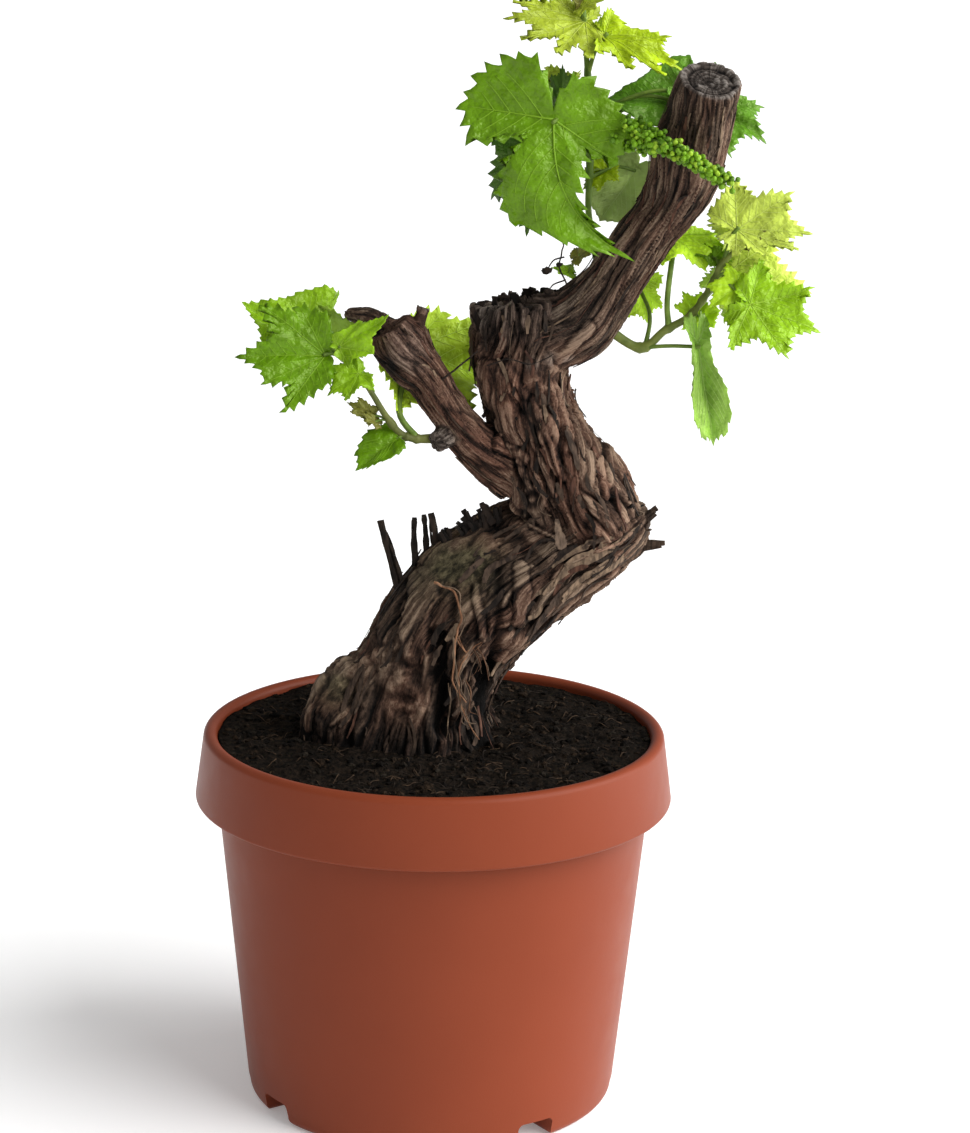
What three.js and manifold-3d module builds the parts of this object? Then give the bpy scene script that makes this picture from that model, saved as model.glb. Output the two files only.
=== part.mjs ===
// Grapevine bonsai: an old gnarled trunk with two pruned boughs and three leafy shoots,
// standing in a round terracotta-coloured plastic pot.
// Millimetres, +Z up, seen from -Y. The origin is the middle of the pot's flat underside.

import * as THREE from "three";
import { mergeVertices } from "three/addons/utils/BufferGeometryUtils.js";
import Module from "manifold-3d";

const wasm = await Module();
wasm.setup();

// Space left between two pieces that touch.
const CLEARANCE = 0.3;

// Pot: a tapering cup with a thick floor and a turned-down collar round its top.
const POT_HEIGHT = 190.6;
const BASE_RADIUS = 93;
const BASE_CORNER = 5;
const WALL_TOP_RADIUS = 112.4;
const WALL_THICKNESS = 2.8;
const FLOOR_THICKNESS = 14;
const LIP_RADIUS = 116;
const LIP_INNER_RADIUS = 109;
const COLLAR_RADIUS = 120;
const COLLAR_HEIGHT = 35;
const COLLAR_THICKNESS = 2.8;
const EDGE_ROUND = 1.8;
const POT_SEGMENTS = 40;

// Four drain notches cut in the foot, spaced a quarter turn apart.
const NOTCH_COUNT = 4;
const NOTCH_FIRST_TURN = 35;
const NOTCH_WIDTH = 20.5;
const NOTCH_HEIGHT = 11.4;
const NOTCH_DEPTH = 20;
const NOTCH_CORNER = 3;
const NOTCH_MOUTH = 4;

// Soil, a little below the lip, lowest at its edge.
const SOIL_TOP = 187;
const SOIL_EDGE_DROP = 0.8;
const SOIL_LEVEL_RADIUS = 84;

// Limbs are rows of x, y, z and radius along the limb, joined by a smooth curve.
const TRUNK_LOWER = [
  [-17, 5, 178, 46], [-7, 4, 211, 37.5], [9, 4, 241, 34.5],
  [35, 6, 265, 32.5], [60, 6, 283, 29.5], [80, 5, 294, 25], [96, 4, 300, 15], [104, 4, 303, 3],
];
const TRUNK_UPPER = [
  [84, 4, 283, 10], [77, 4, 294, 26], [63, 4, 316, 26.8], [50, 3, 341, 22.6],
  [43, 2, 363, 20.3], [40, 0, 384, 22.3], [37.5, 0, 408, 20.5],
];
const ROOT_FLARES = [
  [[-42, -3, 178, 26.5], [-38, -4, 203, 21.5], [-23, -4, 226, 15], [-5, -2, 246, 12]],
  [[12, 24, 178, 24], [8, 18, 204, 18], [8, 10, 228, 14]],
  [[13, -12, 178, 20], [10, -9, 204, 16], [10, -4, 226, 12]],
];
const RIGHT_BOUGH = [
  [46, 0, 389, 18], [69, -4, 400.5, 17], [86, -8, 421.5, 13.8], [99.5, -14, 443.5, 12.2],
  [112.5, -18, 464, 14.2], [120.5, -28, 489, 16.8], [126, -45, 521, 14],
];
const LEFT_BOUGH = [
  [41, 2, 322, 15], [21, -6, 337, 12.5], [7, -10, 353, 9.6],
  [-5, -12, 372, 9.8], [-17.5, -13, 387, 14], [-24, -13, 397, 11.5],
];
const DEAD_STUB = [[-16, -10, 389, 7.5], [-32, -6, 399, 5.6], [-45, -3, 401.5, 1.8]];
const PRUNED_PEG = [[-13, -13, 391, 3.2], [-9, -13, 402, 2.4], [-7.5, -13, 407, 2.8]];
const PRUNED_KNOB = [[11, -9, 348, 7.5], [2, -17, 343, 5.4], [-1, -20, 341.5, 4.4]];

// Long hollows and ridges round a limb: count, share of the radius, turn, twist along it.
const OLD_WOOD_FLUTES = [[3, 0.06, 0.6, 1.5], [5, 0.04, 2.0, -2.0]];
const BOUGH_FLUTES = [[3, 0.04, 1.2, 1.0], [4, 0.03, 0.3, -1.5]];

// Burls and hollows: x, y, z, height and spread.
const TRUNK_BURLS = [
  [47, -26, 314, 5, 9], [58, -27, 303, -5, 7], [96, 0, 292, 5, 9],
  [30, -26, 268, 4, 14], [-52, -14, 200, 4, 10], [88, 4, 325, 3, 9], [20, 30, 300, 5, 14],
  [-3, 0, 288, 5, 13], [-34, 0, 238, -4, 8],
];
const BOUGH_BURLS = [[-22, -24, 388, 3, 7], [118, -42, 480, 2.5, 9]];

// Splinters of loose bark that stand off the trunk, from foot to tip, with the foot's radius.
const SPLINTERS = [
  { foot: [-17, -2, 255], tip: [-28, 2, 297], radius: 3.2 },
  { foot: [-10, 0, 274], tip: [-11, 2, 298.5], radius: 2.4 },
  { foot: [-5, 2, 280], tip: [-6.5, 3, 300], radius: 2.2 },
  { foot: [0, 0, 282], tip: [-3, 2, 301], radius: 2.4 },
  { foot: [20, -4, 292], tip: [13, -2, 304], radius: 3 },
  { foot: [28, -6, 298], tip: [22, -4, 308], radius: 3 },
  { foot: [88, 0, 286], tip: [113, -4, 289], radius: 4 },
  { foot: [92, 0, 292], tip: [109, 0, 306], radius: 4 },
  { foot: [21, -6, 396], tip: [16, -7, 406], radius: 3 },
  { foot: [28, -6, 399], tip: [27, -6, 411.5], radius: 3.6 },
  { foot: [36, -4, 400], tip: [36, -4, 413], radius: 3 },
  { foot: [50, 8, 400], tip: [47, 9, 412], radius: 3.2 },
];

// Vine leaf outline as degrees from the tip and share of the length, the same on both sides.
const LOBES = [
  [0, 1.0], [18, 0.72], [40, 0.92], [66, 0.52], [97, 0.8],
  [125, 0.54], [148, 0.58], [168, 0.42], [180, 0.1],
];
// The large front leaf has one torn, deeply cut side and one folded side.
const CUT_LOBES = [
  [0, 1.0], [12, 1.0], [36, 0.92], [61, 0.2], [76, 0.62], [100, 0.69],
  [122, 0.64], [145, 0.54], [163, 0.46], [174, 0.25], [180, 0.08],
];
const FOLDED_LOBES = [
  [0, 1.0], [5, 0.62], [18, 0.48], [43, 0.31], [55, 0.55], [75, 0.55],
  [90, 0.53], [119, 0.42], [145, 0.36], [160, 0.22], [180, 0.08],
];
// Young leaves, and leaves that are long, drawn up, hanging, heart-shaped or oval.
const YOUNG_LOBES = [
  [0, 1.0], [12, 0.7], [23, 0.95], [36, 0.5], [49, 0.74], [66, 0.38], [86, 0.56],
  [112, 0.34], [140, 0.36], [180, 0.08],
];
const LONG_LOBES = [
  [0, 1.0], [20, 0.62], [41, 0.66], [62, 0.4], [84, 0.44], [110, 0.26], [140, 0.2], [180, 0.08],
];
const UPRIGHT_LOBES = [
  [0, 1.0], [16, 0.64], [36, 0.92], [49, 0.58], [60, 0.62], [85, 0.42], [120, 0.3], [180, 0.08],
];
const LOWER_LOBES = [
  [0, 1.0], [14, 0.8], [27, 0.82], [40, 0.58], [55, 0.86], [75, 0.5], [100, 0.38], [140, 0.25], [180, 0.08],
];
const HANGING_LOBES = [
  [0, 1.0], [18, 0.98], [32, 0.89], [42, 0.67], [47, 0.36], [90, 0.25], [128, 0.41], [159, 0.34],
  [180, 0.15],
];
const HEART_LOBES = [
  [0, 1.0], [12, 0.78], [26, 0.65], [50, 0.66], [77, 0.75], [99, 0.8], [140, 0.55], [180, 0.1],
];
const OVAL_LOBES = [[0, 1.0], [25, 0.88], [50, 0.7], [80, 0.54], [115, 0.42], [150, 0.3], [180, 0.08]];
const LEAF_THICKNESS = 1.2;
// The edge between a lobe and a notch is drawn in by this share, on leaves of some length.
const EDGE_HOLLOW = 0.07;
const HOLLOW_LENGTH = 20;

// A leaf: where its stalk leaves the stem (share of the stem), where the stalk meets the blade,
// the way from there to the tip, the way its upper side faces, and its shape:
// width of its left and right half, length of its heel, sideways curve, fold and droop in degrees.
// Some stalks bend by way of a given point, and some are thicker than the rest.
const UPPER_SHOOT = {
  stem: [
    [78, -6, 424, 2.6], [72, 0, 451, 1.8], [72, 3, 477, 1.7],
    [71, 5, 506, 1.6], [69, 6, 530, 1.5], [67, 6, 550, 1.4],
  ],
  leaves: [
    { from: 0.5, at: [53, -38, 502], span: [1, -17, -64], face: [-0.1, -0.92, 0.3],
      swerve: 0.52, fold: -8, droop: 24,
      leftLobes: CUT_LOBES, rightLobes: FOLDED_LOBES },
    { from: 0.44, at: [45, -6, 488], span: [-6, 4, -47], face: [-0.5, -0.7, 0.2],
      left: 0.75, right: 0.8, droop: 10 },
    { from: 0.58, at: [58, 6, 506], span: [0, 4, 16], face: [0, 0.7, 0.5], left: 0.6, right: 0.6 },
    { from: 0.94, at: [69, 4, 545], span: [-37, -12, 4], face: [-0.1, -0.75, 0.65],
      left: 0.7, right: 1.1, heel: 0.8, leftLobes: YOUNG_LOBES, rightLobes: YOUNG_LOBES },
    { from: 0.7, at: [78, 2, 539], span: [37, -8, -12], face: [0.1, -0.7, 0.7],
      left: 0.72, right: 0.45, heel: 0.4, leftLobes: YOUNG_LOBES },
    { from: 0.55, at: [115, 8, 506], span: [-35, 2, 3], face: [0.1, -0.7, 0.7],
      left: 1, right: 0.9, heel: 0.5, leftLobes: HEART_LOBES, rightLobes: OVAL_LOBES },
    { from: 0.55, at: [127, 6, 508], span: [30, -4, -19], face: [0.2, -0.75, 0.6],
      left: 0.85, right: 0.7 },
    { from: 0.34, at: [95, 12, 472], span: [-17, 4, -27], face: [-0.2, -0.8, -0.4],
      left: 1, right: 0.9, leftLobes: OVAL_LOBES, rightLobes: OVAL_LOBES },
    { from: 0.36, at: [79, 6, 472], span: [-10, -4, -8], face: [0, -0.7, 0.7], left: 0.9, right: 0.9 },
    { from: 0.4, at: [56, 32, 492], span: [-12, 14, -40], face: [-0.2, 0.9, 0.35],
      left: 0.8, right: 0.8, droop: 20 },
    { from: 0.5, at: [124, 28, 505], span: [22, 12, -18], face: [0.2, 0.85, 0.4],
      left: 0.8, right: 0.8, droop: 15 },
    { from: 0.62, at: [60, 26, 509], span: [-20, 14, -14], face: [-0.1, 0.8, 0.6],
      left: 0.7, right: 0.7, droop: 15 },
  ],
};
const RIGHT_SHOOT = {
  stem: [
    [78, -4, 399, 2.9], [98, -4, 387, 2.5], [110, -6, 396, 2.2], [122, -8, 404, 2],
    [131, -8, 417, 1.8], [137, -8, 430, 1.6], [147, -8, 439, 1.5],
  ],
  leaves: [
    { from: 0.17, at: [127, -13, 391], span: [9, -6, -48], face: [0.2, -0.9, 0.1],
      left: 0.42, right: 0.42, fold: 20, leftLobes: HANGING_LOBES, rightLobes: HANGING_LOBES,
      via: [112, -9, 389] },
    { from: 0.2, at: [98, 16, 414], span: [5, 4, -19], face: [0, -0.8, 0.5],
      left: 0.8, right: 0.8, via: [103, 2, 402] },
    { from: 0.36, at: [114, 8, 442], span: [27, -3, -6], face: [0, -0.6, 0.75],
      left: 1.1, right: 0.5, heel: 0.5, droop: 12, via: [111, -4, 412], stalk: 1.5 },
    { from: 0.52, at: [127, -2, 402], span: [-8, 6, 12], face: [0.2, -0.8, 0.4],
      left: 0.9, right: 0.9 },
    { from: 0.84, at: [143, -10, 448], span: [34, -8, 1], face: [0.1, -0.8, 0.6],
      left: 0.85, right: 0.9, heel: 0.9, leftLobes: YOUNG_LOBES },
    { from: 0.72, at: [150, -22, 412], span: [33, -5, -10], face: [0.2, -0.85, 0.45],
      left: 0.95, right: 0.85, heel: 0.6 },
    { from: 0.7, at: [138, -4, 424.5], span: [42, -2, -6], face: [0.1, -0.8, 0.55],
      left: 1, right: 1.1, heel: 0.7, leftLobes: LONG_LOBES, rightLobes: LONG_LOBES },
    { from: 0.68, at: [145, -15, 420], span: [-15, -5, -9], face: [-0.1, -0.8, 0.5],
      left: 0.9, right: 0.9, heel: 0.6 },
    { from: 0.8, at: [133, -2, 432], span: [-15, 6, 7], face: [-0.1, -0.5, 0.85],
      left: 0.5, right: 0.5, droop: 20 },
    { from: 0.86, at: [146, 16, 447], span: [26, 10, -4], face: [0, 0.8, 0.6],
      left: 0.8, right: 0.8, droop: 15 },
    { from: 0.6, at: [146, 16, 416], span: [12, 14, -24], face: [0.2, 0.9, 0.35],
      left: 0.8, right: 0.8, droop: 15 },
  ],
};
const LEFT_SHOOT = {
  stem: [
    [0, -12, 342, 3], [-11, -18, 343, 2.2], [-18, -20, 346, 2], [-25, -22, 355, 1.8],
    [-31, -23, 365, 1.6], [-38, -22, 375, 1.5], [-48, -19, 384, 1.3],
  ],
  leaves: [
    { from: 0.97, at: [-54, -24, 385], span: [-41, -8, 2], face: [-0.1, -0.85, 0.5],
      left: 1.1, right: 1, heel: 0.5, leftLobes: UPRIGHT_LOBES, rightLobes: LOWER_LOBES },
    { from: 0.9, at: [-65, -10, 389], span: [-30, 2, 19], face: [0, -0.75, 0.6],
      left: 1.1, right: 0.85, heel: 0.3, leftLobes: HEART_LOBES, rightLobes: HEART_LOBES },
    { from: 0.98, at: [-48, -26, 389], span: [23, -9, 18], face: [-0.3, -0.85, 0.4],
      left: 0.9, right: 0.5, heel: 0.6, leftLobes: LONG_LOBES, rightLobes: LONG_LOBES },
    { from: 0.78, at: [-38, -28, 377], span: [-15, -7, -7], face: [0, -0.7, 0.7],
      left: 0.9, right: 0.9, heel: 0.6, droop: 30 },
    { from: 0.26, at: [-19, -22, 344], span: [-20, -8, -12], face: [-0.3, -0.75, 0.6],
      left: 0.85, right: 0.6, heel: 0.2, leftLobes: OVAL_LOBES, rightLobes: OVAL_LOBES },
    { from: 0.42, at: [-32, -22, 355], span: [-10, -4, 8], face: [-0.3, -0.75, 0.6],
      left: 0.6, right: 0.6, heel: 0.4, fold: 20, droop: 50 },
    { from: 0.15, at: [-14, 10, 383], span: [45, 16, -17], face: [0.1, -0.8, 0.55],
      left: 0.95, right: 0.95, heel: 0.6, rightLobes: UPRIGHT_LOBES, via: [-19, -12, 357], stalk: 1.4 },
    { from: 0.88, at: [-52, 8, 388], span: [-32, 12, -6], face: [0, 0.8, 0.6],
      left: 0.8, right: 0.8, droop: 15 },
  ],
};
const STALK_RADIUS = 1.1;
const STALK_BOW = 0.12;
const STALK_SINK = 0.1;

// Flower buds: two clusters along one stalk that crosses in front of the right bough.
const FLOWER_STALK = [
  [71, 5, 492, 1.5], [81, -20, 496, 1.5], [94, -40, 494, 1.8],
  [108, -56, 491, 1.8], [124, -60, 482, 1.8], [137, -58, 475, 1.4],
];
const FLOWER_CLUSTERS = [
  { start: 0.3, end: 0.5, reach: 8, buds: 13 },
  { start: 0.55, end: 1.0, reach: 4, buds: 17 },
];
const BUD_RADIUS = 2.6;
const FLOWER_SEED = 7;

const TERRACOTTA = new THREE.MeshStandardMaterial({ color: 0x9c4a36, roughness: 0.5, metalness: 0 });
const SOIL = new THREE.MeshStandardMaterial({ color: 0x1d1712, roughness: 1, metalness: 0 });
const OLD_BARK = new THREE.MeshStandardMaterial({ color: 0x57443a, roughness: 0.95, metalness: 0 });
const BOUGH_BARK = new THREE.MeshStandardMaterial({ color: 0x5f4438, roughness: 0.9, metalness: 0 });
const LEAF_GREEN = new THREE.MeshStandardMaterial({ color: 0x6ea52a, roughness: 0.6, metalness: 0 });
const YOUNG_GREEN = new THREE.MeshStandardMaterial({ color: 0x93c24a, roughness: 0.6, metalness: 0 });

// Repeatable numbers from 0 to 1.
function seeded(seed) {
  let state = seed;
  return () => {
    state = (state * 1664525 + 1013904223) % 4294967296;
    return state / 4294967296;
  };
}

// Leaves out triangles that have shrunk to a line and joins shared corners.
function welded(geometry) {
  geometry.deleteAttribute("normal");
  geometry.deleteAttribute("uv");
  const merged = mergeVertices(geometry, 1e-3);
  const index = merged.index.array;
  const kept = [];
  for (let i = 0; i < index.length; i += 3) {
    const [a, b, c] = [index[i], index[i + 1], index[i + 2]];
    if (a !== b && b !== c && a !== c) {
      kept.push(a, b, c);
    }
  }
  merged.setIndex(kept);
  return merged;
}

function solidFromArrays(corners, triangles) {
  const vertProperties = new Float32Array(corners.flat());
  const triVerts = new Uint32Array(triangles.flat());
  return new wasm.Manifold(new wasm.Mesh({ numProp: 3, vertProperties, triVerts }));
}

function solidFromGeometry(geometry) {
  const merged = welded(geometry);
  const vertProperties = new Float32Array(merged.attributes.position.array);
  const triVerts = new Uint32Array(merged.index.array);
  return new wasm.Manifold(new wasm.Mesh({ numProp: 3, vertProperties, triVerts }));
}

function joined(solids) {
  return solids.reduce((whole, solid) => whole.add(solid));
}

function meshFromSolid(name, solid, material) {
  const result = solid.getMesh();
  const geometry = new THREE.BufferGeometry();
  geometry.setAttribute("position", new THREE.BufferAttribute(new Float32Array(result.vertProperties), 3));
  geometry.setIndex(new THREE.BufferAttribute(new Uint32Array(result.triVerts), 1));
  geometry.computeVertexNormals();
  const mesh = new THREE.Mesh(geometry, material);
  mesh.name = name;
  return mesh;
}

// A point on the smooth curve through rows of equal length, at a share of its length.
function spline(rows, share) {
  const last = rows.length - 1;
  const place = THREE.MathUtils.clamp(share, 0, 1) * last;
  const i = Math.min(Math.floor(place), last - 1);
  const f = place - i;
  const before = i > 0 ? rows[i - 1] : rows[0].map((v, k) => 2 * v - rows[1][k]);
  const after = i < last - 1 ? rows[i + 2] : rows[last].map((v, k) => 2 * v - rows[last - 1][k]);
  return rows[i].map((p1, k) => {
    const p0 = before[k];
    const p2 = rows[i + 1][k];
    const p3 = after[k];
    const a = 2 * p1;
    const b = p2 - p0;
    const c = 2 * p0 - 5 * p1 + 4 * p2 - p3;
    const d = 3 * p1 - p0 - 3 * p2 + p3;
    return 0.5 * (a + b * f + c * f * f + d * f * f * f);
  });
}

function splinePoint(rows, share) {
  const [x, y, z] = spline(rows, share);
  return new THREE.Vector3(x, y, z);
}

// A closed limb along rows of x, y, z and radius, with flutes and burls, swollen by grow.
function limb(rows, { sides = 20, steps = 12, flutes = [], burls = [], grow = 0, side = [0, 1, 0] } = {}) {
  const corners = [];
  const triangles = [];
  const sideways = new THREE.Vector3(...side);
  for (let i = 0; i <= steps; i += 1) {
    const share = i / steps;
    const centre = splinePoint(rows, share);
    const radius = spline(rows, share)[3];
    const along = splinePoint(rows, share + 0.001).sub(splinePoint(rows, share - 0.001)).normalize();
    const across = sideways.clone().addScaledVector(along, -sideways.dot(along)).normalize();
    const third = new THREE.Vector3().crossVectors(along, across);
    for (let j = 0; j < sides; j += 1) {
      const turn = (2 * Math.PI * j) / sides;
      let factor = 1;
      for (const [count, depth, start, twist] of flutes) {
        factor += depth * Math.cos(count * turn + start + twist * share);
      }
      const outward = across.clone().multiplyScalar(Math.cos(turn)).addScaledVector(third, Math.sin(turn));
      const corner = centre.clone().addScaledVector(outward, radius * factor + grow);
      for (const [x, y, z, height, spread] of burls) {
        const distance = corner.distanceTo(new THREE.Vector3(x, y, z));
        corner.addScaledVector(outward, height * Math.exp(-0.5 * (distance / spread) ** 2));
      }
      corners.push(corner.toArray());
    }
  }
  for (let i = 0; i < steps; i += 1) {
    for (let j = 0; j < sides; j += 1) {
      const a = i * sides + j;
      const b = i * sides + ((j + 1) % sides);
      triangles.push([a, b, b + sides], [a, b + sides, a + sides]);
    }
  }
  const foot = corners.push(spline(rows, 0).slice(0, 3)) - 1;
  const tip = corners.push(spline(rows, 1).slice(0, 3)) - 1;
  const lastRing = steps * sides;
  for (let j = 0; j < sides; j += 1) {
    const next = (j + 1) % sides;
    triangles.push([foot, next, j], [tip, lastRing + j, lastRing + next]);
  }
  return solidFromArrays(corners, triangles);
}

// Share of the leaf's length from the stalk to its edge, at an angle from the tip.
function lobeLength(lobes, degrees) {
  const last = lobes.length - 2;
  const i = Math.min(lobes.findLastIndex(([angle]) => angle <= degrees), last);
  const [angle, length] = lobes[i];
  const [nextAngle, nextLength] = lobes[i + 1];
  const blend = 0.5 - 0.5 * Math.cos((Math.PI * (degrees - angle)) / (nextAngle - angle));
  return length + (nextLength - length) * blend;
}

function edgePoint(lobes, degrees, sign, scale) {
  const turn = THREE.MathUtils.degToRad(degrees);
  const reach = scale * lobeLength(lobes, degrees);
  return new THREE.Vector2(reach * Math.cos(turn), sign * reach * Math.sin(turn));
}

// One side of a leaf's edge from its tip to its stalk: each lobe and notch, hollow in between.
function lobedSide(lobes, sign, hollow) {
  const side = [];
  for (let i = 0; i < lobes.length - 1; i += 1) {
    const [angle] = lobes[i];
    const [nextAngle] = lobes[i + 1];
    side.push(edgePoint(lobes, angle, sign, 1));
    if (hollow) {
      side.push(edgePoint(lobes, 0.5 * (angle + nextAngle), sign, 1 - EDGE_HOLLOW));
    }
  }
  side.push(edgePoint(lobes, 180, sign, 1));
  return side;
}

// Turns a point of the flat leaf (along and across, in leaf lengths) into its curved shape.
function curvedLeaf(along, across, leaf) {
  const fold = THREE.MathUtils.degToRad(leaf.fold ?? 8);
  const droop = THREE.MathUtils.degToRad(leaf.droop ?? 8);
  const half = Math.abs(across) * (across < 0 ? leaf.left ?? 1 : leaf.right ?? 1);
  const u = along < 0 ? along * (leaf.heel ?? 1) : along;
  const forward = Math.max(u, 0);
  const rise = half * Math.sin(fold);
  const sideways = Math.sign(across) * half * Math.cos(fold) + (leaf.swerve ?? 0) * forward ** 3;
  const bend = droop * forward;
  const bentAlong = Math.min(u, 0) + Math.sin(bend) / droop + rise * Math.sin(bend);
  const bentUp = (Math.cos(bend) - 1) / droop + rise * Math.cos(bend);
  return [bentAlong, sideways, bentUp];
}

// A leaf blade of even thickness round the point where its stalk meets it.
function blade(leaf) {
  const tipway = new THREE.Vector3(...leaf.span);
  const size = tipway.length();
  tipway.normalize();
  const face = new THREE.Vector3(...leaf.face);
  face.addScaledVector(tipway, -face.dot(tipway)).normalize();
  const leftward = new THREE.Vector3().crossVectors(face, tipway);
  const hollow = size > HOLLOW_LENGTH;
  const right = lobedSide(leaf.rightLobes ?? LOBES, 1, hollow);
  const left = lobedSide(leaf.leftLobes ?? LOBES, -1, hollow).reverse();
  const edge = [...right, ...left.slice(1, -1)];
  const middle = edge.filter((point, i) => i % 2 === 0).map((point) => point.clone().multiplyScalar(0.5));
  const flat = [new THREE.Vector2(0, 0), ...middle, ...edge];
  const corners = [];
  for (const sign of [1, -1]) {
    for (const point of flat) {
      const [along, across, up] = curvedLeaf(point.x, point.y, leaf);
      const corner = new THREE.Vector3(...leaf.at);
      corner.addScaledVector(tipway, along * size).addScaledVector(leftward, across * size);
      corner.addScaledVector(face, up * size + (sign * LEAF_THICKNESS) / 2);
      corners.push(corner.toArray());
    }
  }
  const top = [];
  const firstEdge = 1 + middle.length;
  for (let i = 0; i < middle.length; i += 1) {
    const a = 1 + i;
    const b = 1 + ((i + 1) % middle.length);
    const e0 = firstEdge + 2 * i;
    const e2 = firstEdge + ((2 * i + 2) % edge.length);
    top.push([0, a, b], [a, e0, e0 + 1], [a, e0 + 1, b], [b, e0 + 1, e2]);
  }
  const under = flat.length;
  const triangles = [...top];
  for (const [a, b, c] of top) {
    triangles.push([under + a, under + c, under + b]);
  }
  for (let i = 0; i < edge.length; i += 1) {
    const a = firstEdge + i;
    const b = firstEdge + ((i + 1) % edge.length);
    triangles.push([a, under + a, under + b], [a, under + b, b]);
  }
  return solidFromArrays(corners, triangles);
}

// A leaf stalk from the stem to a little way inside the blade, bowed upwards or by way of its given point.
function stalk(stem, leaf) {
  const foot = splinePoint(stem, leaf.from);
  const top = new THREE.Vector3(...leaf.at).addScaledVector(new THREE.Vector3(...leaf.span), STALK_SINK);
  const middle = foot.clone().lerp(new THREE.Vector3(...leaf.at), 0.55);
  middle.z += STALK_BOW * foot.distanceTo(top);
  const bend = leaf.via ?? middle.toArray();
  const rows = [foot.toArray(), bend, top.toArray()].map((point) => [...point, leaf.stalk ?? STALK_RADIUS]);
  return limb(rows, { sides: 4, steps: 3, side: [0.3, 0.5, 0.8] });
}

function shoot({ stem, leaves }) {
  const pieces = [limb(stem, { sides: 6, steps: 9 })];
  for (const leaf of leaves) {
    pieces.push(stalk(stem, leaf), blade(leaf));
  }
  return joined(pieces);
}

// Flower buds packed round a slim core, each half sunk in it.
function flowers() {
  const random = seeded(FLOWER_SEED);
  const pieces = [limb(FLOWER_STALK, { sides: 5, steps: 8, side: [0, 0, 1] })];
  for (const { start, end, reach, buds } of FLOWER_CLUSTERS) {
    const middle = (share) => splinePoint(FLOWER_STALK, start + (end - start) * share);
    const swell = (share) => reach * (0.45 + 0.55 * Math.sin(Math.PI * share));
    const core = [0, 0.25, 0.5, 0.75, 1].map((share) => [...middle(share).toArray(), swell(share)]);
    pieces.push(limb(core, { sides: 7, steps: 4, side: [0, 0, 1] }));
    for (let i = 0; i < buds; i += 1) {
      const share = (i + 0.5) / buds;
      const turn = i * 2.4 + 0.5 * random();
      const out = new THREE.Vector3(0.3 * Math.cos(turn), Math.cos(turn), Math.sin(turn));
      const bud = new THREE.IcosahedronGeometry(BUD_RADIUS * (0.9 + 0.3 * random()), 0);
      bud.translate(...middle(share).add(out.setLength(swell(share))).toArray());
      pieces.push(solidFromGeometry(bud));
    }
  }
  return joined(pieces);
}

function roundedCorner(centreX, centreY, radius, fromDegrees, toDegrees, count) {
  const points = [];
  for (let i = 0; i <= count; i += 1) {
    const turn = THREE.MathUtils.degToRad(fromDegrees + ((toDegrees - fromDegrees) * i) / count);
    points.push(new THREE.Vector2(centreX + radius * Math.cos(turn), centreY + radius * Math.sin(turn)));
  }
  return points;
}

function turnedSolid(profile) {
  const geometry = new THREE.LatheGeometry(profile, POT_SEGMENTS);
  geometry.rotateX(Math.PI / 2);
  return solidFromGeometry(geometry);
}

// Inner radius of the pot's wall at a height.
function wallInside(height) {
  const share = height / POT_HEIGHT;
  return BASE_RADIUS + (WALL_TOP_RADIUS - BASE_RADIUS) * share - WALL_THICKNESS;
}

function potBody() {
  const lipRound = (LIP_RADIUS - LIP_INNER_RADIUS) / 2;
  const collarFoot = POT_HEIGHT - COLLAR_HEIGHT;
  const underLip = POT_HEIGHT - 2 * lipRound + COLLAR_THICKNESS / 2;
  const profile = [
    new THREE.Vector2(0, 0),
    ...roundedCorner(BASE_RADIUS - BASE_CORNER, BASE_CORNER, BASE_CORNER, -90, 0, 3),
    new THREE.Vector2(wallInside(underLip) + WALL_THICKNESS, underLip),
    new THREE.Vector2(LIP_RADIUS - COLLAR_THICKNESS, underLip),
    new THREE.Vector2(COLLAR_RADIUS - COLLAR_THICKNESS, collarFoot),
    ...roundedCorner(COLLAR_RADIUS - EDGE_ROUND, collarFoot + EDGE_ROUND, EDGE_ROUND, -90, 0, 2),
    ...roundedCorner(LIP_RADIUS - lipRound, POT_HEIGHT - lipRound, lipRound, 0, 180, 6),
    new THREE.Vector2(wallInside(FLOOR_THICKNESS), FLOOR_THICKNESS),
    new THREE.Vector2(0, FLOOR_THICKNESS),
  ];
  let body = turnedSolid(profile);
  const mouth = NOTCH_WIDTH / 2 + NOTCH_MOUTH;
  const crown = NOTCH_WIDTH / 2 - NOTCH_CORNER;
  const shoulder = NOTCH_HEIGHT - NOTCH_CORNER;
  const slot = new THREE.Shape([
    new THREE.Vector2(-mouth, -2),
    new THREE.Vector2(mouth, -2),
    ...roundedCorner(mouth, NOTCH_MOUTH, NOTCH_MOUTH, 270, 180, 3),
    ...roundedCorner(crown, shoulder, NOTCH_CORNER, 0, 90, 3),
    ...roundedCorner(-crown, shoulder, NOTCH_CORNER, 90, 180, 3),
    ...roundedCorner(-mouth, NOTCH_MOUTH, NOTCH_MOUTH, 0, -90, 3),
  ]);
  for (let i = 0; i < NOTCH_COUNT; i += 1) {
    const cutter = new THREE.ExtrudeGeometry(slot, { depth: NOTCH_DEPTH + 10, bevelEnabled: false });
    cutter.rotateX(Math.PI / 2);
    cutter.translate(0, NOTCH_DEPTH - BASE_RADIUS, 0);
    cutter.rotateZ(THREE.MathUtils.degToRad(NOTCH_FIRST_TURN + (360 / NOTCH_COUNT) * i));
    body = body.subtract(solidFromGeometry(cutter));
  }
  return body;
}

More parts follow.
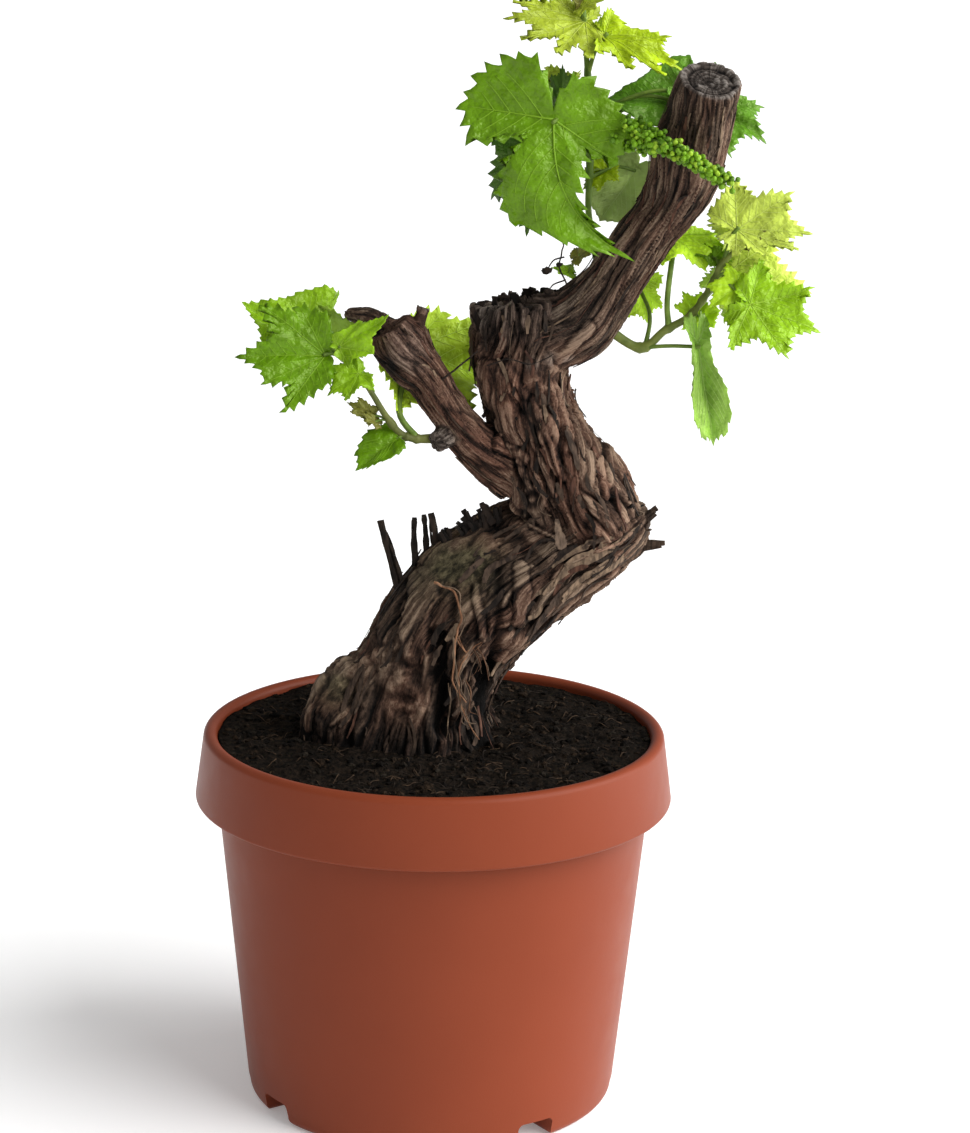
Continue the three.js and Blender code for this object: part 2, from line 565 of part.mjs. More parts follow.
function soilBody() {
  const bottom = FLOOR_THICKNESS + CLEARANCE;
  const edge = SOIL_TOP - SOIL_EDGE_DROP;
  return turnedSolid([
    new THREE.Vector2(0, bottom),
    new THREE.Vector2(wallInside(bottom) - CLEARANCE, bottom),
    new THREE.Vector2(wallInside(edge) - 2.5, edge),
    new THREE.Vector2(SOIL_LEVEL_RADIUS, SOIL_TOP),
    new THREE.Vector2(0, SOIL_TOP),
  ]);
}

// Everything above the ground the trunk stands on.
function aboveGround() {
  const room = new THREE.BoxGeometry(400, 400, 400);
  room.translate(0, 0, SOIL_TOP + CLEARANCE + 200);
  return solidFromGeometry(room);
}

function trunkBody(grow) {
  const old = { flutes: OLD_WOOD_FLUTES, burls: TRUNK_BURLS, grow };
  const pieces = [
    limb(TRUNK_LOWER, { ...old, sides: 22, steps: 12 }),
    limb(TRUNK_UPPER, { ...old, sides: 20, steps: 12 }),
  ];
  for (const flare of ROOT_FLARES) {
    pieces.push(limb(flare, { ...old, sides: 12, steps: 5 }));
  }
  for (const { foot, tip, radius } of SPLINTERS) {
    const rows = [[...foot, radius + grow], [...tip, 0.9 + grow]];
    pieces.push(limb(rows, { sides: 5, steps: 1 }));
  }
  return joined(pieces).intersect(aboveGround());
}

function rightBoughBody(grow) {
  return limb(RIGHT_BOUGH, { sides: 18, steps: 14, flutes: BOUGH_FLUTES, burls: BOUGH_BURLS, grow });
}

function leftBoughBody(grow) {
  const main = limb(LEFT_BOUGH, { sides: 16, steps: 12, flutes: BOUGH_FLUTES, burls: BOUGH_BURLS, grow });
  const stub = limb(DEAD_STUB, { sides: 8, steps: 4, grow });
  const peg = limb(PRUNED_PEG, { sides: 7, steps: 3, grow });
  const knob = limb(PRUNED_KNOB, { sides: 7, steps: 3, grow });
  return joined([main, stub, peg, knob]);
}

const grownTrunk = trunkBody(CLEARANCE);
const grownRight = rightBoughBody(CLEARANCE);
const grownLeft = leftBoughBody(CLEARANCE);

const part = new THREE.Group();
part.add(meshFromSolid("pot", potBody(), TERRACOTTA));
part.add(meshFromSolid("soil", soilBody(), SOIL));
part.add(meshFromSolid("trunk", trunkBody(0), OLD_BARK));
part.add(meshFromSolid("right_bough", rightBoughBody(0).subtract(grownTrunk), BOUGH_BARK));
part.add(meshFromSolid("left_bough", leftBoughBody(0).subtract(grownTrunk), BOUGH_BARK));
const upperMass = shoot(UPPER_SHOOT).add(flowers()).subtract(grownRight);
part.add(meshFromSolid("upper_shoot", upperMass, LEAF_GREEN));
const rightMass = shoot(RIGHT_SHOOT).subtract(grownRight);
part.add(meshFromSolid("right_shoot", rightMass, YOUNG_GREEN));
const leftMass = shoot(LEFT_SHOOT).subtract(grownLeft);
part.add(meshFromSolid("left_shoot", leftMass, LEAF_GREEN));

export default part;
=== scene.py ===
import itertools
import math
from collections import namedtuple

import bmesh
import bpy
import numpy as np
from mathutils import Matrix, Vector
from mathutils.bvhtree import BVHTree


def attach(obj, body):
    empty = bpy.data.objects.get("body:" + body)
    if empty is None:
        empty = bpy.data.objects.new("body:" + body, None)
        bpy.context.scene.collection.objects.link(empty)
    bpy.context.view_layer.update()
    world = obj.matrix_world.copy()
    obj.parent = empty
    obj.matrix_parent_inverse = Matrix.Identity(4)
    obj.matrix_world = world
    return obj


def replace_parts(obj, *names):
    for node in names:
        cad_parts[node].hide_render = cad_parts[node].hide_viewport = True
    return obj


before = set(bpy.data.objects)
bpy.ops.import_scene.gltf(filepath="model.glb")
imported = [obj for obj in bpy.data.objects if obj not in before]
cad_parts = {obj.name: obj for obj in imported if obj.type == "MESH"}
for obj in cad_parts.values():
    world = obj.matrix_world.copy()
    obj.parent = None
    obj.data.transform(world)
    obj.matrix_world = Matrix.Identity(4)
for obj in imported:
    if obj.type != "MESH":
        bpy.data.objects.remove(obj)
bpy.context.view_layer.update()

# The grapevine bonsai's looks. Tables are in millimetres, as in the solids; MM turns them to metres.
MM = 0.001

# Pot, as turned.
POT_HEIGHT = 190.6
BASE_RADIUS = 93
BASE_CORNER = 5
WALL_TOP_RADIUS = 112.4
WALL_THICKNESS = 2.8
FLOOR_THICKNESS = 14
LIP_RADIUS = 116
LIP_INNER_RADIUS = 109
COLLAR_RADIUS = 120
COLLAR_HEIGHT = 35
COLLAR_THICKNESS = 2.8
EDGE_ROUND = 1.8
NOTCH_COUNT = 4
NOTCH_FIRST_TURN = 35
NOTCH_WIDTH = 20.5
NOTCH_HEIGHT = 11.4
NOTCH_DEPTH = 20
NOTCH_CORNER = 3
NOTCH_MOUTH = 4
POT_SEGMENTS = 192

# Soil.
SOIL_TOP = 187
SOIL_EDGE_DROP = 0.8
SOIL_RADIUS = 108.4
SOIL_SWELL = 1.5
SOIL_SHOULDER = 12.0
SOIL_RINGS = 78
SOIL_SEGMENTS = 240
CRUMB_COUNT = 2600
FIBRE_COUNT = 340
FIBRE_STEPS = 7

# Limbs: rows of x, y, z and radius.
TRUNK_LOWER = [
    (-17, 5, 178, 46), (-7, 4, 211, 37.5), (9, 4, 241, 34.5), (35, 6, 265, 32.5),
    (60, 6, 283, 29.5), (80, 5, 294, 25), (96, 4, 300, 15), (104, 4, 303, 3),
]
TRUNK_UPPER = [
    (84, 4, 283, 10), (77, 4, 294, 26), (63, 4, 316, 26.8), (50, 3, 341, 22.6),
    (43, 2, 363, 20.3), (40, 0, 384, 22.3), (37.5, 0, 408, 20.5),
]
ROOT_FLARES = [
    [(-42, -3, 178, 26.5), (-38, -4, 203, 21.5), (-23, -4, 226, 15), (-5, -2, 246, 12)],
    [(12, 24, 178, 24), (8, 18, 204, 18), (8, 10, 228, 14)],
    [(13, -12, 178, 20), (10, -9, 204, 16), (10, -4, 226, 12)],
]
RIGHT_BOUGH = [
    (46, 0, 389, 18), (69, -4, 400.5, 17), (86, -8, 421.5, 13.8), (99.5, -14, 443.5, 12.2),
    (112.5, -18, 464, 14.2), (120.5, -28, 489, 16.8), (126, -45, 521, 14),
]
LEFT_BOUGH = [
    (41, 2, 322, 15), (21, -6, 337, 12.5), (7, -10, 353, 9.6),
    (-5, -12, 372, 9.8), (-17.5, -13, 387, 14), (-24, -13, 397, 11.5),
]
DEAD_STUB = [(-16, -10, 389, 7.5), (-32, -6, 399, 5.6), (-45, -3, 401.5, 1.8)]
PRUNED_PEG = [(-13, -13, 391, 3.2), (-9, -13, 402, 2.4), (-7.5, -13, 407, 2.8)]
PRUNED_KNOB = [(11, -9, 348, 7.5), (2, -17, 343, 5.4), (-1, -20, 341.5, 4.4)]
# Flutes round a limb: how many, depth as a share of the radius, first turn and twist.
OLD_WOOD_FLUTES = [(3, 0.06, 0.6, 1.5), (5, 0.04, 2.0, -2.0)]
BOUGH_FLUTES = [(3, 0.04, 1.2, 1.0), (4, 0.03, 0.3, -1.5)]
# Burls: place, rise and spread.
TRUNK_BURLS = [
    (47, -26, 314, 5, 9), (58, -27, 303, -5, 7), (96, 0, 292, 5, 9), (30, -26, 268, 4, 14),
    (-52, -14, 200, 4, 10), (88, 4, 325, 3, 9), (20, 30, 300, 5, 14), (-3, 0, 288, 5, 13),
    (-34, 0, 238, -4, 8),
]
BOUGH_BURLS = [(-22, -24, 388, 3, 7), (118, -42, 480, 2.5, 9)]
# Splinters that stand out of the wood: foot, tip and radius.
SPLINTERS = [
    ((-17, -2, 255), (-28, 2, 297), 3.2), ((-10, 0, 274), (-11, 2, 298.5), 2.4),
    ((-5, 2, 280), (-6.5, 3, 300), 2.2), ((0, 0, 282), (-3, 2, 301), 2.4),
    ((20, -4, 292), (13, -2, 304), 3), ((28, -6, 298), (22, -4, 308), 3),
    ((88, 0, 286), (113, -4, 289), 4), ((92, 0, 292), (109, 0, 306), 4),
    ((21, -6, 396), (16, -7, 406), 3), ((28, -6, 399), (27, -6, 411.5), 3.6),
    ((36, -4, 400), (36, -4, 413), 3), ((50, 8, 400), (47, 9, 412), 3.2),
]

# How each limb's bark lies: width and length of its plates, depth, twist of the grain per mm,
# share of red, how far the grain sways in plate widths, and how much lighter it is.
Limb = namedtuple("Limb", "rows flutes burls plate_width plate_length depth twist redness sway tone")
WOOD = [
    Limb(TRUNK_LOWER, OLD_WOOD_FLUTES, TRUNK_BURLS, 8.0, 50, 3.0, 0.004, 0.2, 0.5, 0.02),
    Limb(TRUNK_UPPER, OLD_WOOD_FLUTES, TRUNK_BURLS, 6.4, 38, 3.0, -0.007, 0.4, 0.9, 0.03),
    Limb(ROOT_FLARES[0], OLD_WOOD_FLUTES, TRUNK_BURLS, 5.0, 16, 2.2, 0.003, 0.3, 0.8, 0.06),
    Limb(ROOT_FLARES[1], OLD_WOOD_FLUTES, TRUNK_BURLS, 6.0, 24, 2.2, 0.003, 0.25, 0.8, 0.02),
    Limb(ROOT_FLARES[2], OLD_WOOD_FLUTES, TRUNK_BURLS, 6.0, 26, 2.2, 0.003, 0.25, 0.8, 0.0),
    Limb(RIGHT_BOUGH, BOUGH_FLUTES, BOUGH_BURLS, 4.4, 70, 1.2, 0.005, 0.3, 0.5, 0.02),
    Limb(LEFT_BOUGH, BOUGH_FLUTES, BOUGH_BURLS, 4.0, 30, 0.8, 0.006, 0.8, 0.5, 0.02),
    Limb(DEAD_STUB, [], [], 3.4, 22, 0.7, 0.0, 0.0, 0.5, 0.0),
    Limb(PRUNED_PEG, [], [], 2.4, 14, 0.4, 0.0, 0.3, 0.5, 0.0),
    Limb(PRUNED_KNOB, [], [], 3.0, 6, 0.7, 0.0, 0.1, 0.5, 0.0),
]
BOUGH_LIMBS = (5, 6, 7, 8, 9)
# Limbs with a sawn end, and the rings that show there.
SAWN_LIMBS = [(5, 6), (8, 1)]
# How finely the wood is made: sides and rings of a limb, places along its middle, the surface's cells.
LIMB_SIDES = 72
LIMB_STEPS = 72
FRAME_STEPS = 180
VOXEL = 0.9
WOOD_TRIANGLES = 192000

# Broad plates, ropes and hollows on the front: way in x and z, half width, rise, how much lighter. The darker
# ones are painted shade in hollows, under overhangs and on the left flank.
SLABS = [
    ([(-4, 283), (20, 292)], 10, 1.6, 0.05),
    ([(-5.5, 270), (-11.5, 237)], 7, 2.6, 0.1),
    ([(-15, 275), (-26, 242)], 3.2, 1.4, -0.06),
    ([(42, 280), (43, 269), (41, 255)], 4.2, 2.6, 0.1),
    ([(20, 271), (22, 258), (24, 246)], 2.4, 2.8, 0.2),
    ([(-32, 221), (-39.4, 208.5), (-50.8, 199)], 1.5, 1.9, 0.34),
    ([(-55, 218), (-62, 208), (-62.6, 195)], 2.2, 1.2, 0.2),
    ([(1, 246), (4, 200)], 6, -9, -0.6),
    ([(26, 229), (27, 188)], 8, -8, -0.6),
    ([(9, 267), (8, 246)], 4.5, -3, -0.36),
    ([(30, 281), (31, 258), (29, 238)], 4, -3, -0.36),
    ([(28, 298), (40, 293), (48, 285)], 6, -2, -0.3),
    ([(-22, 268), (-31, 246)], 3, -1, -0.2),
    ([(102.5, 300.5), (89.3, 291.8), (76, 287.3), (62.7, 281.8), (58.1, 275.3)], 1.6, 2.0, 0.4),
    ([(102.6, 296.2), (89.6, 282.2), (75.2, 274.5), (63, 264.7), (52.8, 255.9)], 1.5, 1.8, 0.32),
    ([(97.7, 287.7), (81.5, 272.4), (66.2, 262.6), (58.1, 252.8)], 1.3, 1.4, 0.3),
    ([(37.4, 308.7), (46.8, 299.3), (58.2, 294.2)], 1.4, 2.0, 0.26),
    ([(26, 376), (31, 361), (38, 344)], 6.5, 1.8, 0.08),
    ([(31, 340), (42.5, 334)], 4, 2.6, 0.14),
    ([(40, 332), (47, 318)], 2, 2.2, 0.05),
    ([(33.5, 381), (45, 361), (51.6, 343)], 2.2, 1.8, 0.02),
    ([(46.5, 364), (51.5, 351), (62, 325)], 1.8, 2.2, 0.12),
    ([(42, 361), (48, 340), (58, 317)], 2.0, 1.8, 0.04),
    ([(73, 400), (58, 383)], 3.2, 1.5, 0.18),
    ([(80, 331), (83, 324), (84, 316)], 2.6, 1.2, 0.28),
    ([(88, 314), (93, 303)], 1.6, 1.6, 0.28),
    ([(94, 310), (98, 301)], 1.4, 1.6, 0.24),
]
# Spots: place, spread, rise, how much lighter, share of weathered bare wood, and how much redder. The darker
# ones are painted shade in pits and hollows.
SPOTS = [
    ((57, -27, 303.5), 5, -6, -0.55, 0, 0), ((-27, -20, 378), 5, -2.5, -0.5, 0, 0),
    ((45.5, -20, 381.6), 2.4, 1.6, 0.16, 0.35, 0), ((55, -20, 383.8), 2.4, 1.2, 0.12, 0.3, 0),
    ((63.5, -16, 382.1), 2.2, 1.2, 0.14, 0.35, 0), ((27, -28, 204), 12, -2, -0.35, 0, 0),
    ((0, -21, 342), 5, 0, 0.02, 0.6, 0), ((-14, -25, 389), 8, 0, 0.06, 0.2, 0),
    ((26, -8, 406), 7, 0, 0.12, 0.6, 0), ((46, -19, 368), 13, 0, 0, 0, 0.6),
    ((84, -22, 291), 12, 0, 0.06, 0, 0.5), ((-12, -28, 214), 9, 0, 0.04, 0, 0.6),
    ((60, -20, 326), 8, 0, 0, 0, 0.4), ((29.8, -28, 275.5), 6, -2, -0.2, 0, 0),
]
# Knobbly places, where bark has grown over old cuts: place, spread and how much lighter.
CALLUSES = [
    ((-46, -22, 230), 6, 0.06), ((-35, -24, 234), 6.5, 0.12), ((-24, -26, 233), 6.5, 0.14),
    ((-15, -26, 229), 6, 0.08), ((-44, -26, 214), 8, -0.06), ((-13, -28, 213), 8, 0.04),
    ((52.5, -19, 373.5), 7, 0.0), ((107, 5, 302), 10, 0.0),
]
MOSSY = [((-6, -24, 286), 12), ((8, -29, 285), 12), ((20, -29, 288), 10), ((-46, -16, 214), 7)]
KNOT = (46.7, -27, 313.5)
KNOT_REACH = 13
KNOT_RING = 6.5
# The trunk's old ragged cut, and how high above the soil the foot is painted darker as shade.
OLD_CUT = (32, 0, 408)
OLD_CUT_SPREAD = 22
FOOT_SHADE_HEIGHT = 22

# Vine leaf outlines: degrees from the tip and share of the length.
LOBES = [
    (0, 1.0), (18, 0.72), (40, 0.92), (66, 0.52), (97, 0.8),
    (125, 0.54), (148, 0.58), (168, 0.42), (180, 0.1),
]
CUT_LOBES = [
    (0, 1.0), (12, 1.0), (36, 0.92), (61, 0.2), (76, 0.62), (100, 0.69),
    (122, 0.64), (145, 0.54), (163, 0.46), (174, 0.25), (180, 0.08),
]
FOLDED_LOBES = [
    (0, 1.0), (5, 0.62), (18, 0.48), (43, 0.31), (55, 0.55), (75, 0.55),
    (90, 0.53), (119, 0.42), (145, 0.36), (160, 0.22), (180, 0.08),
]
YOUNG_LOBES = [
    (0, 1.0), (12, 0.7), (23, 0.95), (36, 0.5), (49, 0.74), (66, 0.38), (86, 0.56),
    (112, 0.34), (140, 0.36), (180, 0.08),
]
HEART_LOBES = [
    (0, 1.0), (12, 0.78), (26, 0.65), (50, 0.66), (77, 0.75), (99, 0.8), (140, 0.55), (180, 0.1),
]
LOWER_LOBES = [
    (0, 1.0), (14, 0.8), (27, 0.82), (40, 0.58), (55, 0.86), (75, 0.5), (100, 0.38), (140, 0.25), (180, 0.08),
]
LONG_LOBES = [
    (0, 1.0), (20, 0.62), (41, 0.66), (62, 0.4), (84, 0.44), (110, 0.26), (140, 0.2), (180, 0.08),
]
UPRIGHT_LOBES = [
    (0, 1.0), (16, 0.64), (36, 0.92), (49, 0.58), (60, 0.62), (85, 0.42), (120, 0.3), (180, 0.08),
]
HANGING_LOBES = [
    (0, 1.0), (18, 0.98), (32, 0.89), (42, 0.67), (47, 0.36), (90, 0.25), (128, 0.41), (159, 0.34),
    (180, 0.15),
]
OVAL_LOBES = [(0, 1.0), (25, 0.88), (50, 0.7), (80, 0.54), (115, 0.42), (150, 0.3), (180, 0.08)]
# Teeth along a leaf's edge: places and heights of the four corners of one tooth, tip side first.
TOOTH_PLACES = np.array((0.0, 0.26, 0.55, 0.8))
TOOTH_RISES = np.array((-0.3, 1.0, 0.3, -0.1))
TOOTH_LEAN = 0.3
TOOTH_SPACING = 0.125
TOOTH_HEIGHT = 0.052
EDGE_HOLLOW = 0.05
EDGE_SAMPLES = 600
EDGE_WINDOW = 31
BLADE_THICKNESS = 0.5
# A blade's relief and its veins, in leaf lengths.
EDGE_WAVE = 0.045
VEIN_HOLLOW = 0.045
BLADE_SWELL = 0.06
VEIN_REACH = 0.92
VEIN_STEPS = 14
MAIN_VEIN = (0.0095, 0.0035)
SIDE_VEIN = (0.0048, 0.003)
SIDE_VEIN_REACH = 0.6
SIDE_VEIN_STEPS = 21
SIDE_VEIN_TURN = 48
SIDE_VEIN_SPACING = 0.12

# A leaf: share of the stem it leaves from, where stalk meets blade, way to the tip, way it faces, tint,
# then its shape, the middle and radius of its stalk, and how marked its teeth are.
Leaf = namedtuple(
    "Leaf",
    "start at span face tint left right heel swerve fold droop left_lobes right_lobes via stalk teeth",
    defaults=(1, 1, 1, 0, 8, 8, LOBES, LOBES, None, 1.0, 1.0),
)
UPPER_STEM = [
    (78, -6, 424, 2.6), (72, 0, 451, 1.8), (72, 3, 477, 1.7),
    (71, 5, 506, 1.6), (69, 6, 530, 1.5), (67, 6, 550, 1.4),
]
UPPER_LEAVES = [
    Leaf(0.5, (53, -38, 502), (1, -17, -64), (-0.1, -0.92, 0.3), "bright",
         swerve=0.52, fold=-8, droop=24, left_lobes=CUT_LOBES, right_lobes=FOLDED_LOBES),
    Leaf(0.44, (45, -6, 488), (-6, 4, -47), (-0.5, -0.7, 0.2), "deep", 0.75, 0.8, droop=10),
    Leaf(0.58, (58, 6, 506), (0, 4, 16), (0, 0.7, 0.5), "deep", 0.6, 0.6),
    Leaf(0.94, (69, 4, 545), (-37, -12, 4), (-0.1, -0.75, 0.65), "young", 0.7, 1.1, 0.8,
         left_lobes=YOUNG_LOBES, right_lobes=YOUNG_LOBES),
    Leaf(0.7, (78, 2, 539), (37, -8, -12), (0.1, -0.7, 0.7), "lime", 0.72, 0.45, 0.4,
         left_lobes=YOUNG_LOBES),
    Leaf(0.55, (115, 8, 506), (-35, 2, 3), (0.1, -0.7, 0.7), "mid", 1.0, 0.9, 0.5,
         left_lobes=HEART_LOBES, right_lobes=OVAL_LOBES, teeth=0.2),
    Leaf(0.55, (127, 6, 508), (30, -4, -19), (0.2, -0.75, 0.6), "mid", 0.85, 0.7),
    Leaf(0.34, (95, 12, 472), (-17, 4, -27), (-0.2, -0.8, -0.4), "shade", 1.0, 0.9,
         left_lobes=OVAL_LOBES, right_lobes=OVAL_LOBES, teeth=0.3),
    Leaf(0.36, (79, 6, 472), (-10, -4, -8), (0, -0.7, 0.7), "lime", 0.9, 0.9),
    Leaf(0.4, (56, 32, 492), (-12, 14, -40), (-0.2, 0.9, 0.35), "bright", 0.8, 0.8, droop=20),
    Leaf(0.5, (124, 28, 505), (22, 12, -18), (0.2, 0.85, 0.4), "mid", 0.8, 0.8, droop=15),
    Leaf(0.62, (60, 26, 509), (-20, 14, -14), (-0.1, 0.8, 0.6), "lime", 0.7, 0.7, droop=15),
]
RIGHT_STEM = [
    (78, -4, 399, 2.9), (98, -4, 387, 2.5), (110, -6, 396, 2.2), (122, -8, 404, 2),
    (131, -8, 417, 1.8), (137, -8, 430, 1.6), (147, -8, 439, 1.5),
]
RIGHT_LEAVES = [
    Leaf(0.17, (127, -13, 391), (9, -6, -48), (0.2, -0.9, 0.1), "pale", 0.42, 0.42, fold=20,
         left_lobes=HANGING_LOBES, right_lobes=HANGING_LOBES, via=(112, -9, 389), teeth=0.55),
    Leaf(0.2, (98, 16, 414), (5, 4, -19), (0, -0.8, 0.5), "glow", 0.8, 0.8, via=(103, 2, 402), stalk=1.5),
    Leaf(0.36, (114, 8, 442), (27, -3, -6), (0, -0.6, 0.75), "glow", 1.1, 0.5, 0.5, droop=12,
         via=(111, -4, 412), stalk=1.7, teeth=0.7),
    Leaf(0.52, (127, -2, 402), (-8, 6, 12), (0.2, -0.8, 0.4), "glow", 0.9, 0.9),
    Leaf(0.84, (143, -10, 448), (34, -8, 1), (0.1, -0.8, 0.6), "gold", 0.85, 0.9, 0.9,
         left_lobes=YOUNG_LOBES),
    Leaf(0.72, (150, -22, 412), (33, -5, -10), (0.2, -0.85, 0.45), "light", 0.95, 0.85, 0.6),
    Leaf(0.7, (138, -4, 424.5), (42, -2, -6), (0.1, -0.8, 0.55), "gold", 1.0, 1.1, 0.7,
         left_lobes=LONG_LOBES, right_lobes=LONG_LOBES),
    Leaf(0.68, (145, -15, 420), (-15, -5, -9), (-0.1, -0.8, 0.5), "glow", 0.9, 0.9, 0.6),
    Leaf(0.8, (133, -2, 432), (-15, 6, 7), (-0.1, -0.5, 0.85), "bright", 0.5, 0.5, droop=20),
    Leaf(0.86, (146, 16, 447), (26, 10, -4), (0, 0.8, 0.6), "lime", 0.8, 0.8, droop=15),
    Leaf(0.6, (146, 16, 416), (12, 14, -24), (0.2, 0.9, 0.35), "light", 0.8, 0.8, droop=15),
]
LEFT_STEM = [
    (0, -12, 342, 3.0), (-11, -18, 343, 2.2), (-18, -20, 346, 2.0), (-25, -22, 355, 1.8),
    (-31, -23, 365, 1.6), (-38, -22, 375, 1.5), (-48, -19, 384, 1.3),
]
LEFT_LEAVES = [
    Leaf(0.97, (-54, -24, 385), (-41, -8, 2), (-0.1, -0.85, 0.5), "bright", 1.1, 1.0, 0.5,
         left_lobes=UPRIGHT_LOBES, right_lobes=LOWER_LOBES),
    Leaf(0.9, (-65, -10, 389), (-30, 2, 19), (0, -0.75, 0.6), "light", 1.1, 0.85, 0.3,
         left_lobes=HEART_LOBES, right_lobes=HEART_LOBES, teeth=0.5),
    Leaf(0.98, (-48, -26, 389), (23, -9, 18), (-0.3, -0.85, 0.4), "light", 0.9, 0.5, 0.6,
         left_lobes=LONG_LOBES, right_lobes=LONG_LOBES, teeth=0.5),
    Leaf(0.78, (-38, -28, 377), (-15, -7, -7), (0, -0.7, 0.7), "light", 0.9, 0.9, 0.6, droop=30),
    Leaf(0.26, (-19, -22, 344), (-20, -8, -12), (-0.3, -0.75, 0.6), "bright", 0.85, 0.6, 0.2,
         left_lobes=OVAL_LOBES, right_lobes=OVAL_LOBES),
    Leaf(0.42, (-32, -22, 355), (-10, -4, 8), (-0.3, -0.75, 0.6), "bud", 0.6, 0.6, 0.4, 0, 20, 50),
    Leaf(0.15, (-14, 10, 383), (45, 16, -17), (0.1, -0.8, 0.55), "sunlit", 0.95, 0.95, 0.6,
         right_lobes=UPRIGHT_LOBES, via=(-19, -12, 357), stalk=1.6),
    Leaf(0.88, (-52, 8, 388), (-32, 12, -6), (0, 0.8, 0.6), "light", 0.8, 0.8, droop=15),
]
# Small leaves still unfolding near the shoots' tips.
UPPER_TIPS = [
    Leaf(0.98, (67, 3, 551), (9, -5, 4), (0, -0.7, 0.7), "young", 0.7, 0.7),
    Leaf(0.99, (66, 5, 552), (-4, -2, 7), (0.2, -0.9, 0.3), "bud", 0.6, 0.6),
    Leaf(1.0, (68, 7, 551), (5, 7, 4), (0, 0.7, 0.7), "young", 0.7, 0.7),
    Leaf(0.12, (67, -6, 432), (7, -5, 6), (0, -0.8, 0.6), "bud", 0.6, 0.6),
    Leaf(0.1, (63, -4, 424), (-8, -4, 3), (0, -0.7, 0.7), "light", 0.6, 0.6),
]
RIGHT_TIPS = [
    Leaf(0.98, (149, -9, 441), (7, -4, 6), (0, -0.7, 0.7), "bud", 0.7, 0.7),
    Leaf(1.0, (148, -6, 441), (-2, 4, 8), (0, 0.7, 0.5), "young", 0.6, 0.6),
]
LEFT_TIPS = [
    Leaf(0.45, (-30, -23, 352), (-6, -4, 5), (0, -0.7, 0.7), "bud", 0.6, 0.6),
]
STALK_BOW = 0.12
STALK_SINK = 0.03
STALK_STEPS = 14
STEM_STEPS = 60

# Colours as a screen shows them: upper side, under side and veins of a leaf.
TINTS = {
    "bright": ((91, 132, 11), (108, 142, 36), (116, 154, 32)),
    "mid": ((84, 130, 30), (100, 136, 50), (106, 148, 50)),
    # deep is darker for leaves in shade behind others: painted shade.
    "deep": ((46, 82, 14), (66, 100, 34), (66, 104, 26)),
    "light": ((130, 173, 22), (140, 174, 56), (148, 184, 52)),
    "pale": ((138, 178, 72), (146, 178, 88), (156, 190, 96)),
    "lime": ((160, 187, 20), (164, 184, 56), (170, 192, 48)),
    "young": ((150, 167, 42), (158, 172, 64), (166, 180, 70)),
    "gold": ((188, 208, 82), (188, 204, 96), (196, 212, 104)),
    # shade, glow and sunlit are lighter for leaves that sit in shade, standing for light through them:
    # painted light.
    "shade": ((172, 198, 112), (176, 200, 120), (186, 208, 130)),
    "glow": ((176, 218, 40), (176, 214, 60), (186, 222, 70)),
    "sunlit": ((198, 236, 60), (198, 232, 80), (206, 238, 90)),
    "bud": ((104, 104, 40), (112, 110, 54), (120, 116, 58)),
}

# Flower buds: side branches along a stalk, from and to a share of it, how many, and their lengths.
FLOWER_STALK = [
    (71, 5, 492, 1.5), (81, -20, 496, 1.5), (94, -40, 494, 1.8),
    (108, -56, 491, 1.8), (124, -60, 482, 1.8), (137, -58, 475, 1.4),
]
FLOWER_CLUSTERS = [(0.3, 0.5, 22, 10.5, 7.0), (0.54, 1.0, 46, 5.4, 3.4)]
BUD_RADIUS = 1.4
BUD_SPACING = 2.4
GOLDEN_TURN = 2.4

# Camera and studio: image in pixels, sensor in mm, angles in degrees, places and sizes in metres.
IMAGE_HEIGHT = 1133
FOCAL_PIXELS = 3318
SENSOR = 36
CAMERA_PLACE = (0.0243, -1.6, 0.681)
CAMERA_PITCH = 14.25
CAMERA_ROLL = 0.87
SKY = 0.34
FLOOR_GLOW = 0.2
SUN_ENERGY = 4.2
SUN_SPREAD = 58
SUN_FROM = (0.75, -0.35, 0.56)
SIDE_LIGHT = 12
SIDE_LIGHT_SIZE = 1.0
SIDE_LIGHT_PLACE = (1.5, 0.25, 0.55)
SIDE_LIGHT_AIM = (0, 0, 0.3)
STUDIO_HALF = 30


def colour(red, green, blue):
    """A colour given as it shows on a screen, 0 to 255, in the shader's linear values."""
    shares = np.array((red, green, blue)) / 255
    linear = np.where(shares <= 0.04045, shares / 12.92, ((shares + 0.055) / 1.055) ** 2.4)
    return (*linear.tolist(), 1.0)


def unit(vectors):
    return vectors / np.linalg.norm(vectors, axis=-1, keepdims=True)


def full_turn(count):
    """Evenly spread angles round a circle."""
    return 2 * np.pi * np.arange(count) / count


def smoothstep(values):
    share = np.clip(values, 0, 1)
    return share * share * (3 - 2 * share)


def hashed(cell, seed):
    """A random number from 0 to 1 for each lattice cell."""
    mixed = cell[..., 0] * 73856093 ^ cell[..., 1] * 19349663 ^ cell[..., 2] * 83492791 ^ seed * 40503
    mixed = (mixed ^ (mixed >> 15)) * 2246822519 & 0xFFFFFFFF
    mixed = (mixed ^ (mixed >> 13)) * 3266489917 & 0xFFFFFFFF
    return (mixed ^ (mixed >> 16)) / 0xFFFFFFFF


def noise(points, seed):
    """Smooth random values from -1 to 1, about one swell per unit."""
    base = np.floor(points).astype(np.int64)
    share = smoothstep(points - base)
    total = np.zeros(len(points))
    for corner in itertools.product((0, 1), repeat=3):
        weight = np.prod(np.where(corner, share, 1 - share), axis=1)
        total += weight * hashed(base + np.array(corner), seed)
    return 2 * total - 1


def wander(points, scale, shift, seed):
    """A smooth random way for each point."""
    return np.stack([noise(points / scale + shift * k, seed) for k in range(3)], -1)


